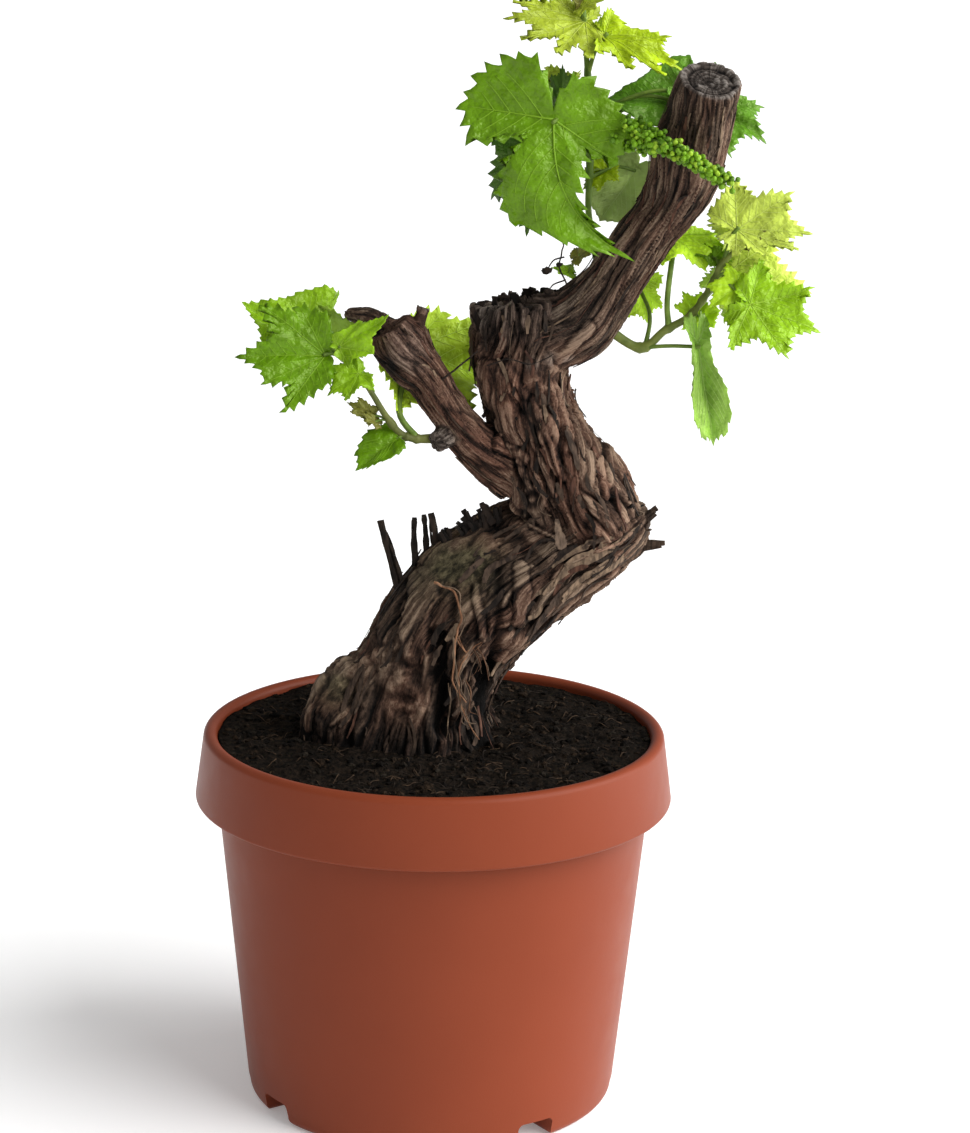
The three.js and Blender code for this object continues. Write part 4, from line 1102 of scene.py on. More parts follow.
def bark_marks(points, normals):
    """The bark's height, and its named values for the finish, at each point."""
    count = len(points)
    height, light, redness, grain = blended_bark(points)
    front = smoothstep((0.15 - normals[:, 1]) / 0.4)
    ragged = 1 + 0.3 * noise(points / 6, 54) + 0.15 * noise(points / 2, 55)
    for rows, half, rise, tone in SLABS:
        soft = 0.9 if rise > 0 else 4.0
        edge = (half * ragged - flat_distance(points, rows)) / soft
        on = front * smoothstep(edge)
        # The dark rims round raised slabs, and the darker tones of hollows, are painted shade.
        rim = front * np.exp(-(edge**2)) * (rise > 0)
        height = height * (1 - 0.5 * on) + rise * on - 0.9 * rim
        light = light + tone * on - 0.28 * rim
    knobbly = np.zeros(count)
    for place, spread, tone in CALLUSES:
        share = np.clip(1.4 * near(points, place, spread), 0, 1)
        lumps = noise(points / 4.2, 56) + 0.6 * noise(points / 1.9, 57)
        height = height * (1 - 0.7 * share) + 1.5 * share * lumps
        light = light * (1 - 0.6 * share) + share * (0.4 + tone + 0.26 * lumps)
        knobbly = np.maximum(knobbly, share)
    redness = redness + 0.3 * noise(points / 16, 44)

    moss = np.clip(sum(near(points, place, spread) for place, spread in MOSSY), 0, 1)
    grit = noise(points / 2.2, 48)
    height = height * (1 - 0.75 * moss) + moss * (0.7 * grit + 0.9 * noise(points / 6, 49))
    light = light * (1 - 0.7 * moss) + moss * (0.44 + 0.2 * grit)
    knobbly = np.maximum(knobbly, moss)
    moss = moss * smoothstep(0.8 + 1.0 * noise(points / 9, 41) + 0.5 * moss)
    light = light + 0.08 * noise(points / 14, 45)

    away = points - np.array(KNOT)
    knot = np.linalg.norm(away, axis=1)
    swirl = smoothstep((KNOT_REACH - knot) / 5)
    rings = np.cos(2 * np.pi * (np.hypot(away[:, 0], away[:, 2]) + 0.9 * noise(points / 4, 46)) / KNOT_RING)
    height = height * (1 - 0.8 * swirl) + swirl * 1.6 * rings
    light = light * (1 - 0.8 * swirl) + swirl * (0.46 + 0.3 * rings)

    bare = np.zeros(count)
    for place, spread, rise, tone, share, red in SPOTS:
        spot = near(points, place, spread)
        redness = redness + red * spot
        height += rise * spot
        # Negative tones are painted shade in pits and hollows.
        light += tone * spot
        bare = np.maximum(bare, share * smoothstep(2 * spot))
    for index, rings in SAWN_LIMBS:
        share, cut_height, cut_light = cut_face(points, index, rings)
        height = height * (1 - share) + share * cut_height
        light = light * (1 - share) + share * cut_light
        bare = np.maximum(bare, share)
    below_cut = OLD_CUT[2] - points[:, 2]
    head = smoothstep((22 - below_cut) / 14) * near(points, OLD_CUT, OLD_CUT_SPREAD)
    height += smoothstep((8 - below_cut) / 5) * head * (1.8 * noise(points / 4, 47))
    light -= 0.26 * head * (1 - bare)
    bare = np.maximum(bare, 0.45 * head)
    # Painted shade: the wood darker towards the soil.
    light -= 0.42 * smoothstep((SOIL_TOP + FOOT_SHADE_HEIGHT - points[:, 2]) / 20)
    # relief carries lightness: the plates' own tones, with painted shade in crevices, hollows, pits and at
    # the foot.
    values = {
        "relief": light - 0.98, "knobbly": knobbly, "redness": np.clip(redness, 0, 1),
        "moss": moss, "bare": bare,
    }
    return height, values, grain


def build_wood():
    """The bark-covered wood; gives back the surface that loose bark lies on."""
    mesh = wood_surface()
    points = smoothed(read(mesh.vertices, "co", 3) / MM, read(mesh.edges, "vertices", 2, np.int32), 4)
    mesh.vertices.foreach_set("co", (points * MM).ravel())
    mesh.update()
    normals = read(mesh.vertex_normals, "vector", 3)
    points = points + normals * (1.8 * noise(points / 26, 42) + 0.8 * noise(points / 9, 43))[:, None]
    faces = [polygon.vertices[:] for polygon in mesh.polygons]
    tree = BVHTree.FromPolygons(points.tolist(), faces, all_triangles=False)

    height, values, grain = bark_marks(points, normals)
    points = points + normals * height[:, None]
    mesh.vertices.foreach_set("co", (points * MM).ravel())
    for name, numbers in values.items():
        mesh.attributes.new(name, "FLOAT", "POINT").data.foreach_set("value", numbers.astype(np.float32))
    mesh.attributes.new("grain", "FLOAT_VECTOR", "POINT").data.foreach_set("vector", grain.ravel())
    dense = linked("dense_wood", mesh)
    fewer = dense.modifiers.new("fewer", "DECIMATE")
    mesh.calc_loop_triangles()
    fewer.ratio = WOOD_TRIANGLES / len(mesh.loop_triangles)
    mesh = applied_mesh(dense, "vine_wood")
    coat(mesh, bark_finish())
    lay_out(mesh)
    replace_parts(dressed("vine_wood", mesh), "trunk", "right_bough", "left_bough")
    return tree


def lay_out(mesh):
    """A map that unrolls each limb into a band of its own, for the patterns' colours."""
    points = read(mesh.vertices, "co", 3) / MM
    places = [limb_places(index, points) for index in range(len(WOOD))]
    owner = np.stack([limb_weight(place[2]) for place in places]).argmax(0)
    corners = read(mesh.loops, "vertex_index", 1, np.int32)
    sizes = read(mesh.polygons, "loop_total", 1, np.int32)
    first = np.repeat(read(mesh.polygons, "loop_start", 1, np.int32), sizes)
    face_owner = owner[corners[first]]
    flat = np.zeros((len(corners), 2))
    margin = 6.0
    row_limit = 470.0
    x = y = row_height = 0.0
    for index, (way, turn, radii_off) in enumerate(places):
        on = face_owner == index
        if not on.any():
            continue
        girth = GIRTHS[index]
        corner = corners[on]
        start = turn[corners[first[on]]]
        angle = start + (turn[corner] - start + np.pi) % (2 * np.pi) - np.pi
        inward = np.clip(1 - radii_off[corner], 0, 1) * girth
        along = way[corner] + np.where(way[corner] > way[corner].mean(), inward, -inward)
        width = 2 * np.pi * girth
        if x + width > row_limit:
            x = 0.0
            y += row_height + margin
            row_height = 0.0
        flat[on, 0] = x + (angle + np.pi) * girth + margin / 2
        flat[on, 1] = y + along - along.min()
        x += width + 2 * margin
        row_height = max(row_height, np.ptp(along))
    flat = (flat - flat.min(0)) / np.ptp(flat, axis=0).max()
    mesh.uv_layers.new(name="OFBake").uv.foreach_set("vector", flat.astype(np.float32).ravel())


def on_surface(tree, points, lift):
    """Points moved to the nearest place on the wood, raised by lift, with the way out there."""
    found = []
    outward = []
    for point, rise in zip(points, lift):
        place, normal, _, _ = tree.find_nearest(Vector(point.tolist()))
        found.append(np.array(place) + np.array(normal) * rise)
        outward.append(np.array(normal))
    return np.array(found), unit(np.array(outward))


def grain_path(index, random, length):
    """A stretch along the limb's grain, just outside it; nothing where it would meet another limb."""
    limb = WOOD[index]
    centres, radii, _, across, third = FRAMES[index]
    lengths = lengths_along(centres)
    way = random.uniform(0.02, 0.98) * lengths[-1] + length * np.linspace(0, 1, FLAKE_STEPS)
    turn = random.uniform(-np.pi, np.pi) - limb.twist * way
    turn = turn + random.normal(0, 0.12) * np.sin(np.linspace(0, np.pi, FLAKE_STEPS))
    k = np.searchsorted(lengths, way).clip(0, len(lengths) - 1)
    outward = np.cos(turn)[:, None] * across[k] + np.sin(turn)[:, None] * third[k]
    path = centres[k] + outward * (1.12 * radii[k])[:, None]
    clear = all(limb_places(i, path)[2].min() > 0.9 for i in range(len(WOOD)) if i != index)
    return path if clear and way[-1] < lengths[-1] else None


def bark_tints(prefix, *shades):
    """Rough fibrous finishes, one for each pair of colours."""
    return [
        plain_grain(f"{prefix}_{i}", first, second, 0.92, 420, 0.0006, (1, 1, 0.35))
        for i, (first, second) in enumerate(shades)
    ]


# Two near colours of each kind of loose bark.
BLACK_BARK = ((16, 14, 12), (36, 30, 26))
DARK_BARK = ((24, 19, 16), (50, 40, 33))
BROWN_BARK = ((42, 33, 27), (78, 63, 52))
RED_BARK = ((52, 34, 27), (92, 63, 50))
TAN_BARK = ((78, 64, 52), (128, 107, 87))
TORN_BARK = ((64, 52, 43), (108, 90, 75))
RUSTY_ROOT = ((100, 68, 48), (150, 110, 82))
BROWN_ROOT = ((70, 48, 35), (110, 80, 60))
# Loose flakes and threads on each limb: limb, number of flakes, longest, widest, number of threads.
LOOSE_BARK = [
    (0, 300, 26, 3.4, 16), (1, 320, 22, 3.2, 30), (2, 60, 10, 2.4, 0), (3, 60, 16, 2.6, 4),
    (4, 50, 16, 2.4, 4), (5, 200, 30, 1.7, 16), (6, 70, 24, 1.6, 4), (7, 14, 12, 1.2, 0),
]
FLAKE_STEPS = 9
FLAKE_THICKNESS = 0.5
THREAD_STEPS = 24


def build_loose_bark(tree):
    """Flakes that peel off along the grain, and thin threads among them."""
    random = np.random.default_rng(23)
    trunk_flakes, bough_flakes, threads = Batch(), Batch(), Batch()
    share = np.linspace(0, 1, FLAKE_STEPS)
    for index, flakes, longest, widest, strings in LOOSE_BARK:
        target = bough_flakes if index in BOUGH_LIMBS else trunk_flakes
        ground = 0.36 * WOOD[index].depth
        for _ in range(flakes):
            path = grain_path(index, random, longest * random.uniform(0.25, 1.0))
            peel = random.random(2) ** 3 * random.uniform(0.3, 1.0) * widest
            width = widest * random.uniform(0.3, 1.0)
            tint = int(random.choice(4, p=(0.36, 0.34, 0.18, 0.12)))
            if path is None:
                continue
            lift = ground - 0.25 + peel[0] * (1 - share) ** 3 + peel[1] * share**3
            path, outward = on_surface(tree, path, lift)
            if lengths_along(path)[-1] > 1.15 * np.linalg.norm(path[-1] - path[0]):
                continue
            taper = np.sin(np.pi * (0.1 + 0.82 * share)) ** 0.6
            ragged = 1 + 0.4 * noise(path / 2.2, 61)
            target.put(ribbon(path, outward, width * taper * ragged, FLAKE_THICKNESS), tint)
        for _ in range(strings):
            path = grain_path(index, random, longest * random.uniform(0.8, 1.6))
            lift = ground + 0.2 + 0.9 * random.random() * np.sin(np.pi * share) ** 2
            sway = random.normal(0, 0.7, (3, 3))
            tint = int(random.integers(3))
            if path is None:
                continue
            path, _ = on_surface(tree, path + spline(sway, share), lift)
            path = spline(path, np.linspace(0, 1, THREAD_STEPS))
            threads.put(tube(path, np.linspace(0.26, 0.14, THREAD_STEPS), 4), tint)
    shades = bark_tints("strip", DARK_BARK, BROWN_BARK, RED_BARK, TAN_BARK)
    trunk_flakes.piece("bark_strips", shades, "trunk_bark", smooth=False)
    shades = bark_tints("bough_strip", DARK_BARK, RED_BARK, BROWN_BARK, TAN_BARK)
    bough_flakes.piece("bough_strips", shades, "bough_bark", smooth=False)
    threads.piece("bark_threads", bark_tints("thread", BROWN_BARK, RED_BARK, TAN_BARK), "trunk_bark")


def sliver(batch, foot, tip, width, thickness, random, tint, facing=(0, -1, 0.2)):
    """A splinter of bark from foot to tip, slightly bent, with a ragged edge and a torn end."""
    share = np.linspace(0, 1, FLAKE_STEPS)
    bow = random.normal(0, 0.05, 3) * np.linalg.norm(tip - foot)
    path = foot + (tip - foot) * share[:, None] + bow * np.sin(np.pi * share)[:, None]
    widths = width * (1 - 0.25 * share) * (1 + 0.25 * random.uniform(-1, 1, FLAKE_STEPS))
    outward = unit(np.array(facing) + random.normal(0, 0.25, 3))
    batch.put(ribbon(path, np.broadcast_to(outward, path.shape), widths, thickness), tint)


# More slivers: in a fringe above the knee, in a crown round the old cut, and about the knee's tip.
FRINGE = ((0, -4, 292), (36, -8, 309))
FRINGE_COUNT = 34
CROWN_COUNT = 16
CROWN_MIDDLE = (37.5, 0.0, 399.0)
CROWN_RADIUS = 18.5
KNEE_TIP = (98, 0, 298)
KNEE_TIP_SPREAD = (5, 9, 8)
KNEE_TIP_COUNT = 16


def rooted(tree, place):
    """The nearest place just under the wood's surface, and the way out there."""
    feet, outward = on_surface(tree, place[None], [-1.0])
    return feet[0], outward[0]


def build_splinters(tree):
    """Splinters left by old cuts and breaks, each a few slivers."""
    random = np.random.default_rng(29)
    batch = Batch()
    for foot, tip, radius in SPLINTERS:
        foot, tip = np.array(foot, float), np.array(tip, float)
        tint = 2 if tip[0] > 100 else int(random.integers(2))
        sliver(batch, foot, tip, min(1.5 * radius, 3.6), 1.4, random, tint)
        for _ in range(2):
            shift = random.normal(0, 0.35 * radius, 3)
            reach = random.uniform(0.7, 0.97)
            sliver(batch, foot + shift, foot + (tip - foot) * reach + shift, 0.6 * radius, 0.9, random, tint)
    start, end = np.array(FRINGE)
    for _ in range(FRINGE_COUNT):
        place = start + (end - start) * random.random() + random.normal(0, 1.5, 3)
        foot, outward = rooted(tree, place)
        tip = foot + outward * random.uniform(2, 5) + (random.uniform(-4, 1), 0, random.uniform(2, 6))
        sliver(batch, foot, tip, random.uniform(1.2, 3.4), 0.9, random, int(random.integers(2)))
    for i in range(CROWN_COUNT):
        turn = 2 * np.pi * (i + 0.7 * random.random()) / CROWN_COUNT
        reach = CROWN_RADIUS * random.uniform(0.72, 1.03)
        foot = np.array(CROWN_MIDDLE) + (reach * math.cos(turn), reach * math.sin(turn), 0)
        rise = random.uniform(4.5, 7.5) + 0.2 * (foot[0] - 20) + (2.0 if math.sin(turn) > -0.2 else 0)
        tip = foot + (random.normal(0, 0.8), random.normal(0, 0.8), rise)
        facing = (math.cos(turn), math.sin(turn), 0.1)
        sliver(batch, foot, tip, random.uniform(2.0, 7.5), 1.8, random, int(random.integers(2)), facing)
    for _ in range(KNEE_TIP_COUNT):
        foot, outward = rooted(tree, np.array(KNEE_TIP) + random.normal(0, 1, 3) * KNEE_TIP_SPREAD)
        tip = foot + outward * random.uniform(1, 3.5) + random.normal(0, 1.6, 3)
        sliver(batch, foot, tip, random.uniform(1.0, 2.8), 0.8, random, int(random.integers(3)))
    shades = bark_tints("splinter", BLACK_BARK, DARK_BARK, BROWN_BARK)
    batch.piece("bark_splinters", shades, "trunk_bark", smooth=False)


# Long bands of bark over the knee: rows of their way, width and tint.
KNEE_BANDS = [
    ((112, -8, 300), (92, -20, 287), (72, -24, 277), (56, -26, 262), (44, -26, 246), 3.4, 2),
    ((110, -10, 297), (88, -22, 283), (66, -26, 272), (50, -28, 256), (42, -26, 238), 3.0, 1),
    ((106, -4, 291), (84, -18, 276), (64, -24, 262), (48, -25, 246), (38, -22, 232), 3.0, 1),
    ((100, -12, 302), (84, -24, 293), (70, -27, 288), (60, -28, 280), (54, -29, 268), 2.6, 2),
    ((98, 0, 284), (80, -12, 268), (62, -20, 254), (46, -22, 240), (36, -20, 226), 2.6, 0),
]
TORN_FLAP = [(59, -24, 305), (60, -28.5, 300.5), (61, -30, 296), (62.5, -29.5, 291.5)]
FLAP_WIDTHS = np.array((1.6, 2.6, 2.4, 3.6, 3.2, 4.8, 5.6, 4.8, 6.4, 5.0, 5.6, 2.6))
FLAP_FACING = (0.25, -1.0, 0.3)
BAND_STEPS = 30
BANDS_EACH = 4


def build_flaps(tree):
    """Broad curls of bark: bands over the knee and the torn flap below the knot."""
    random = np.random.default_rng(37)
    batch = Batch()
    along = np.linspace(0, 1, BAND_STEPS)
    for *rows, width, tint in KNEE_BANDS:
        for _ in range(BANDS_EACH):
            shift = random.normal(0, 1.0, 3) * (3, 1.5, 3)
            path = spline(np.array(rows) + shift, random.uniform(0, 0.3) + random.uniform(0.35, 0.7) * along)
            path, outward = on_surface(tree, path, 0.7 + random.uniform(0.3, 2.4) * along**4)
            taper = np.sin(np.pi * (0.08 + 0.87 * along)) ** 0.5
            ragged = 1 + 0.35 * noise(path / 3, 71)
            batch.put(ribbon(path, outward, width * taper * ragged, 0.6), tint)
    flap = spline(TORN_FLAP, np.linspace(0, 1, len(FLAP_WIDTHS)))
    flap = flap + 0.5 * wander(flap, 2.5, 9, 72)
    batch.put(ribbon(flap, np.broadcast_to(FLAP_FACING, flap.shape), FLAP_WIDTHS, 0.9), 3)
    shades = bark_tints("flap", DARK_BARK, BROWN_BARK, TAN_BARK, TORN_BARK)
    batch.piece("bark_flaps", shades, "trunk_bark", smooth=False)


# Fine roots that hang from the trunk's front: rows of their way, and radius.
ROOT_HAIRS = [
    ([(-1, -31, 274), (9, -31, 270), (12, -31, 262), (13, -31, 255), (10.7, -32, 247), (9.6, -34, 235),
      (9, -36, 225), (16, -37.5, 215)], 0.7),
    ([(9.4, -32, 247), (10, -34, 235), (11.6, -36, 225), (13, -37.5, 215), (16, -39, 206),
      (21, -39, 205)], 0.55),
    ([(19.5, -32, 242), (14.6, -34, 236), (12, -35, 230), (12.6, -37, 220), (15, -38, 210),
      (22.7, -41, 197)], 0.5),
    ([(21, -32, 242), (25, -34, 235), (26.6, -35, 226)], 0.35),
    ([(19.5, -33, 241), (22.8, -34, 233.5), (21.6, -35, 230)], 0.3),
    ([(17, -33, 241), (12.7, -34, 235), (11, -35, 230)], 0.3),
    ([(16, -35, 226), (18, -36.5, 220), (17.5, -38, 211), (22, -39, 209), (22.2, -38, 211)], 0.35),
    ([(8, -36, 222), (8.4, -38, 212), (7.3, -39, 205), (6.4, -41, 197)], 0.35),
    ([(21.5, -33, 237), (18.4, -34.5, 231), (17.3, -36, 225)], 0.3),
    ([(10.7, -32, 247), (15.8, -33, 240), (19.5, -32, 242), (23, -32, 244)], 0.4),
]
# Dry tendrils on the boughs: rows of their way, and radius.
TENDRILS = [
    ([(-3, -19, 368), (5, -20, 375), (12, -20, 381), (19, -19, 387)], 0.6),
    ([(66, -8, 408), (62, -9, 418), (58, -8, 428), (60, -8, 438), (56, -7, 443)], 0.5),
    ([(60, -8, 432), (55, -8, 430), (52, -8, 425)], 0.45),
    ([(61, -9, 421), (56, -9, 419), (53, -9, 415)], 0.45),
    ([(24, -20, 380), (34, -25, 384), (46, -24, 382), (56, -20, 386)], 0.4),
]
TENDRIL_BUDS = [((52, -8, 425), 2.2), ((53, -9, 415), 1.9), ((56, -7, 443), 1.5), ((58, -8, 428), 1.4)]
HAIR_STEPS = 40
TENDRIL_STEPS = 16


def build_hairs():
    """Fine roots that hang from the trunk's front to the soil, and dry tendrils on the boughs."""
    random = np.random.default_rng(41)
    hairs = Batch()
    for rows, radius in ROOT_HAIRS:
        for shift, share in ((0, 1), (1.4, 0.5)):
            moved = np.array(rows) + random.normal(0, 1, (len(rows), 3)) * shift * (1, 0.3, 1)
            path = spline(moved, np.linspace(0, 1, HAIR_STEPS))
            path = path + 0.7 * wander(path, 4, 7, 63)
            girth = radius * share * (1 + 0.3 * noise(path / 3, 64)) * np.linspace(1, 0.55, HAIR_STEPS)
            hairs.put(tube(path, girth, 5), int(random.integers(3)))
    hairs.piece("root_hairs", bark_tints("hair", RUSTY_ROOT, BROWN_ROOT, TAN_BARK), "trunk_bark")

    tendrils = Batch()
    for rows, radius in TENDRILS:
        path = spline(rows, np.linspace(0, 1, TENDRIL_STEPS))
        path = path + 0.5 * wander(path, 3, 9, 81)
        tendrils.put(tube(path, np.linspace(radius, 0.7 * radius, TENDRIL_STEPS), 5))
    ball, ball_faces = icosphere(2)
    for place, size in TENDRIL_BUDS:
        lump = ball * (1 + 0.3 * noise(ball * 2.2, 82))[:, None] * size * (1.2, 0.8, 0.8)
        tendrils.put((lump + np.array(place), [ball_faces]))
    tendrils.piece("dry_tendrils", bark_tints("tendril", DARK_BARK), "bough_bark")


def lobe_length(lobes, degrees):
    """Length of a lobed outline at angles from the tip."""
    angles, lengths = np.array(lobes).T
    i = np.clip(np.searchsorted(angles, degrees, side="right") - 1, 0, len(angles) - 2)
    blend = 0.5 - 0.5 * np.cos(np.pi * (degrees - angles[i]) / (angles[i + 1] - angles[i]))
    return lengths[i] + (lengths[i + 1] - lengths[i]) * blend


def vein_angles(lobes):
    """The angles of a side's main veins: its tip and each lobe."""
    found = [0.0]
    for before, here, after in zip(lobes, lobes[1:], lobes[2:]):
        if here[1] > before[1] and here[1] >= after[1]:
            found.append(float(here[0]))
    return np.array(found)


def toothed_side(lobes, random, spacing, marked):
    """One side of the edge from tip to stalk, in leaf lengths: without and with its teeth."""
    degrees, lengths = np.array(lobes, float).T
    between = 0.5 * (degrees[1:] + degrees[:-1])
    turns = np.concatenate([degrees, between])
    reach = np.concatenate([lengths, lobe_length(lobes, between) * (1 - EDGE_HOLLOW)])
    order = turns.argsort()
    turns, reach = np.radians(turns[order]), reach[order]
    corners = np.stack([reach * np.cos(turns), reach * np.sin(turns)], -1)
    steps = lengths_along(corners)
    samples = np.linspace(0, steps[-1], EDGE_SAMPLES)
    line = np.stack([np.interp(samples, steps, corners[:, k]) for k in (0, 1)], -1)
    window = np.ones(EDGE_WINDOW) / EDGE_WINDOW
    padded = np.pad(line, ((EDGE_WINDOW // 2, EDGE_WINDOW // 2), (0, 0)), "edge")
    rounded = np.stack([np.convolve(padded[:, k], window, "valid") for k in (0, 1)], -1)
    way = unit(np.gradient(rounded, axis=0))

    teeth = max(5, round(steps[-1] / spacing))
    place = (np.arange(teeth)[:, None] + TOOTH_PLACES[None]) / teeth
    place = np.append(place.ravel()[1:] - TOOTH_PLACES[1] / teeth, 1.0).clip(0, 1) * (EDGE_SAMPLES - 1)
    rises = marked * TOOTH_HEIGHT * np.append(np.tile(TOOTH_RISES, teeth)[1:], 0.0)
    rises = rises * np.repeat(random.uniform(0.6, 1.3, teeth), 4)
    grid = np.arange(EDGE_SAMPLES)
    smooth = np.stack([np.interp(place, grid, line[:, k]) for k in (0, 1)], -1)
    forth = np.stack([np.interp(place, grid, way[:, k]) for k in (0, 1)], -1)
    rises = rises * smoothstep((np.hypot(*smooth.T) - 0.12) / 0.15)
    outward = np.stack([forth[:, 1], -forth[:, 0]], -1)
    toothed = smooth + rises[:, None] * outward - TOOTH_LEAN * np.maximum(rises, 0)[:, None] * forth
    toothed[:, 1] = np.maximum(toothed[:, 1], 0)
    toothed[[0, -1], 1] = 0
    return smooth, toothed


def leaf_frame(leaf):
    """A leaf's length, and its ways to the tip, out of its face and aside."""
    tipway = np.array(leaf.span, float)
    size = np.linalg.norm(tipway)
    tipway = tipway / size
    face = np.array(leaf.face, float)
    face = unit(face - tipway * (face @ tipway))
    return size, tipway, face, np.cross(face, tipway)


def blade_height(leaf, size, seed, u, v):
    """Hollows along the veins and waves of the edge, in mm, at places on the flat leaf."""
    degrees = np.degrees(np.arctan2(np.abs(v), u))
    reach = np.hypot(u, v)
    height = np.zeros(len(u))
    for on, lobes in ((v >= 0, leaf.right_lobes), (v < 0, leaf.left_lobes)):
        off = np.abs(degrees[on][:, None] - vein_angles(lobes)[None]).min(1)
        aside = reach[on] * np.sin(np.radians(np.minimum(off, 80)))
        share = np.minimum(reach[on] / lobe_length(lobes, degrees[on]), 1)
        wave = np.sin(np.radians(degrees[on]) * 5 + seed) * share**3
        height[on] = size * (EDGE_WAVE * wave - VEIN_HOLLOW * np.exp(-((aside / 0.1) ** 2)))
    flat = np.stack([u * 2.6, v * 2.6, np.full(len(u), float(seed))], -1)
    return height + BLADE_SWELL * size * noise(flat, 91)


def blade_points(leaf, seed, u, v, lift=0.0):
    """Places in space of places on the flat leaf, u to the tip and v aside, in leaf lengths."""
    size, tipway, face, aside = leaf_frame(leaf)
    fold, droop = math.radians(leaf.fold), math.radians(leaf.droop)
    half = np.abs(v) * np.where(v < 0, leaf.left, leaf.right)
    along = np.where(u < 0, u * leaf.heel, u)
    forward = np.maximum(along, 0)
    rise = half * math.sin(fold)
    sideways = np.sign(v) * half * math.cos(fold) + leaf.swerve * forward**3
    bend = droop * forward
    bent_along = np.minimum(along, 0) + np.sin(bend) / droop + rise * np.sin(bend)
    bent_up = (np.cos(bend) - 1) / droop + rise * np.cos(bend)
    up = bent_up * size + blade_height(leaf, size, seed, u, v) + lift
    flat = np.outer(bent_along * size, tipway) + np.outer(sideways * size, aside)
    return np.array(leaf.at, float) + flat + np.outer(up, face)


def blade_shape(leaf, seed):
    """Corners of a leaf, the faces of its upper side and edge, and those of its under side."""
    random = np.random.default_rng(100 + seed)
    size, _, face, _ = leaf_frame(leaf)
    spacing = TOOTH_SPACING if size > 25 else 1.4 * TOOTH_SPACING
    right = toothed_side(leaf.right_lobes, random, spacing, leaf.teeth)
    left = toothed_side(leaf.left_lobes, random, spacing, leaf.teeth)
    smooth, toothed = (
        np.vstack([a, (b * (1, -1))[1:-1][::-1]]) for a, b in zip(right, left)
    )
    columns = len(smooth)
    rings = 16 if size > 45 else 12 if size > 20 else 6
    share = (((np.arange(rings) + 1) / rings) ** 0.85)[:, None, None]
    flat = (share * smooth[None] + (toothed - smooth)[None] * share**6).reshape(-1, 2)
    flat = np.vstack([[(0.0, 0.0)], flat])
    middle = blade_points(leaf, seed, flat[:, 0], flat[:, 1])
    count = len(middle)
    half = 0.5 * BLADE_THICKNESS * face
    ring = np.arange(columns)
    after = (ring + 1) % columns
    fan = np.stack([np.zeros(columns, int), 1 + ring, 1 + after], -1)
    quads = np.vstack([
        np.stack([ring, columns + ring, columns + after, after], -1) + 1 + i * columns
        for i in range(rings - 1)
    ])
    outer = 1 + (rings - 1) * columns
    edge = np.stack([outer + ring, count + outer + ring, count + outer + after, outer + after], -1)
    under = [(block + count)[:, ::-1] for block in (fan, quads)]
    return np.vstack([middle + half, middle - half]), [fan, quads, edge], under


def side_vein(lobes, veins, angle, way, forth):
    """A side vein's places on the flat leaf, from a main vein as far as they lie in that vein's lobe."""
    turn = math.radians(angle)
    out = np.linspace(0, SIDE_VEIN_REACH, SIDE_VEIN_STEPS)
    heading = turn + way * math.radians(SIDE_VEIN_TURN) * (1 - 0.35 * out)
    u = forth * math.cos(turn) + out * np.cos(heading)
    v = forth * math.sin(turn) + out * np.sin(heading)
    degrees = np.degrees(np.arctan2(v, u))
    owned = np.abs(degrees[:, None] - veins[None]).min(1) >= np.abs(degrees - angle) - 1e-6
    inside = np.hypot(u, v) < 0.86 * lobe_length(lobes, degrees.clip(0, 180))
    good = owned & inside & (v >= 0)
    last = len(out) if good.all() else int(good.argmin())
    return u[:last], v[:last]


def vein_shapes(leaf, seed):
    """Main veins to each lobe and side veins that leave them, as thin tubes on the blade."""
    size = leaf_frame(leaf)[0]
    shapes = []

    def vein(u, v, thick, thin):
        path = blade_points(leaf, seed, u, v, 0.32)
        shapes.append(tube(path, np.maximum(np.linspace(thick, thin, len(path)) * size, 0.14), 4))

    for sign, lobes in ((1, leaf.right_lobes), (-1, leaf.left_lobes)):
        veins = vein_angles(lobes)
        for angle in veins:
            length = VEIN_REACH * float(lobe_length(lobes, np.array([angle]))[0])
            turn = math.radians(angle)
            steps = np.linspace(0, length, VEIN_STEPS)
            if angle or sign > 0:
                vein(steps * math.cos(turn), sign * steps * math.sin(turn), *MAIN_VEIN)
            if size < 20:
                continue
            for way in (1, -1) if angle else (1,):
                for forth in np.arange(0.08, 0.9 * length, SIDE_VEIN_SPACING):
                    u, v = side_vein(lobes, veins, angle, way, forth)
                    if len(u) > 3:
                        vein(u, sign * v, *SIDE_VEIN)
    return shapes


def stalk_path(stem, leaf):
    """The stalk's bowed way from the stem into the blade."""
    foot = spline(stem, leaf.start)[0, :3]
    at = np.array(leaf.at, float)
    top = at + np.array(leaf.span) * STALK_SINK - 0.4 * leaf_frame(leaf)[2]
    middle = foot + (at - foot) * 0.55
    middle[2] += STALK_BOW * np.linalg.norm(top - foot)
    return spline([foot, leaf.via or middle, top], np.linspace(0, 1, STALK_STEPS))


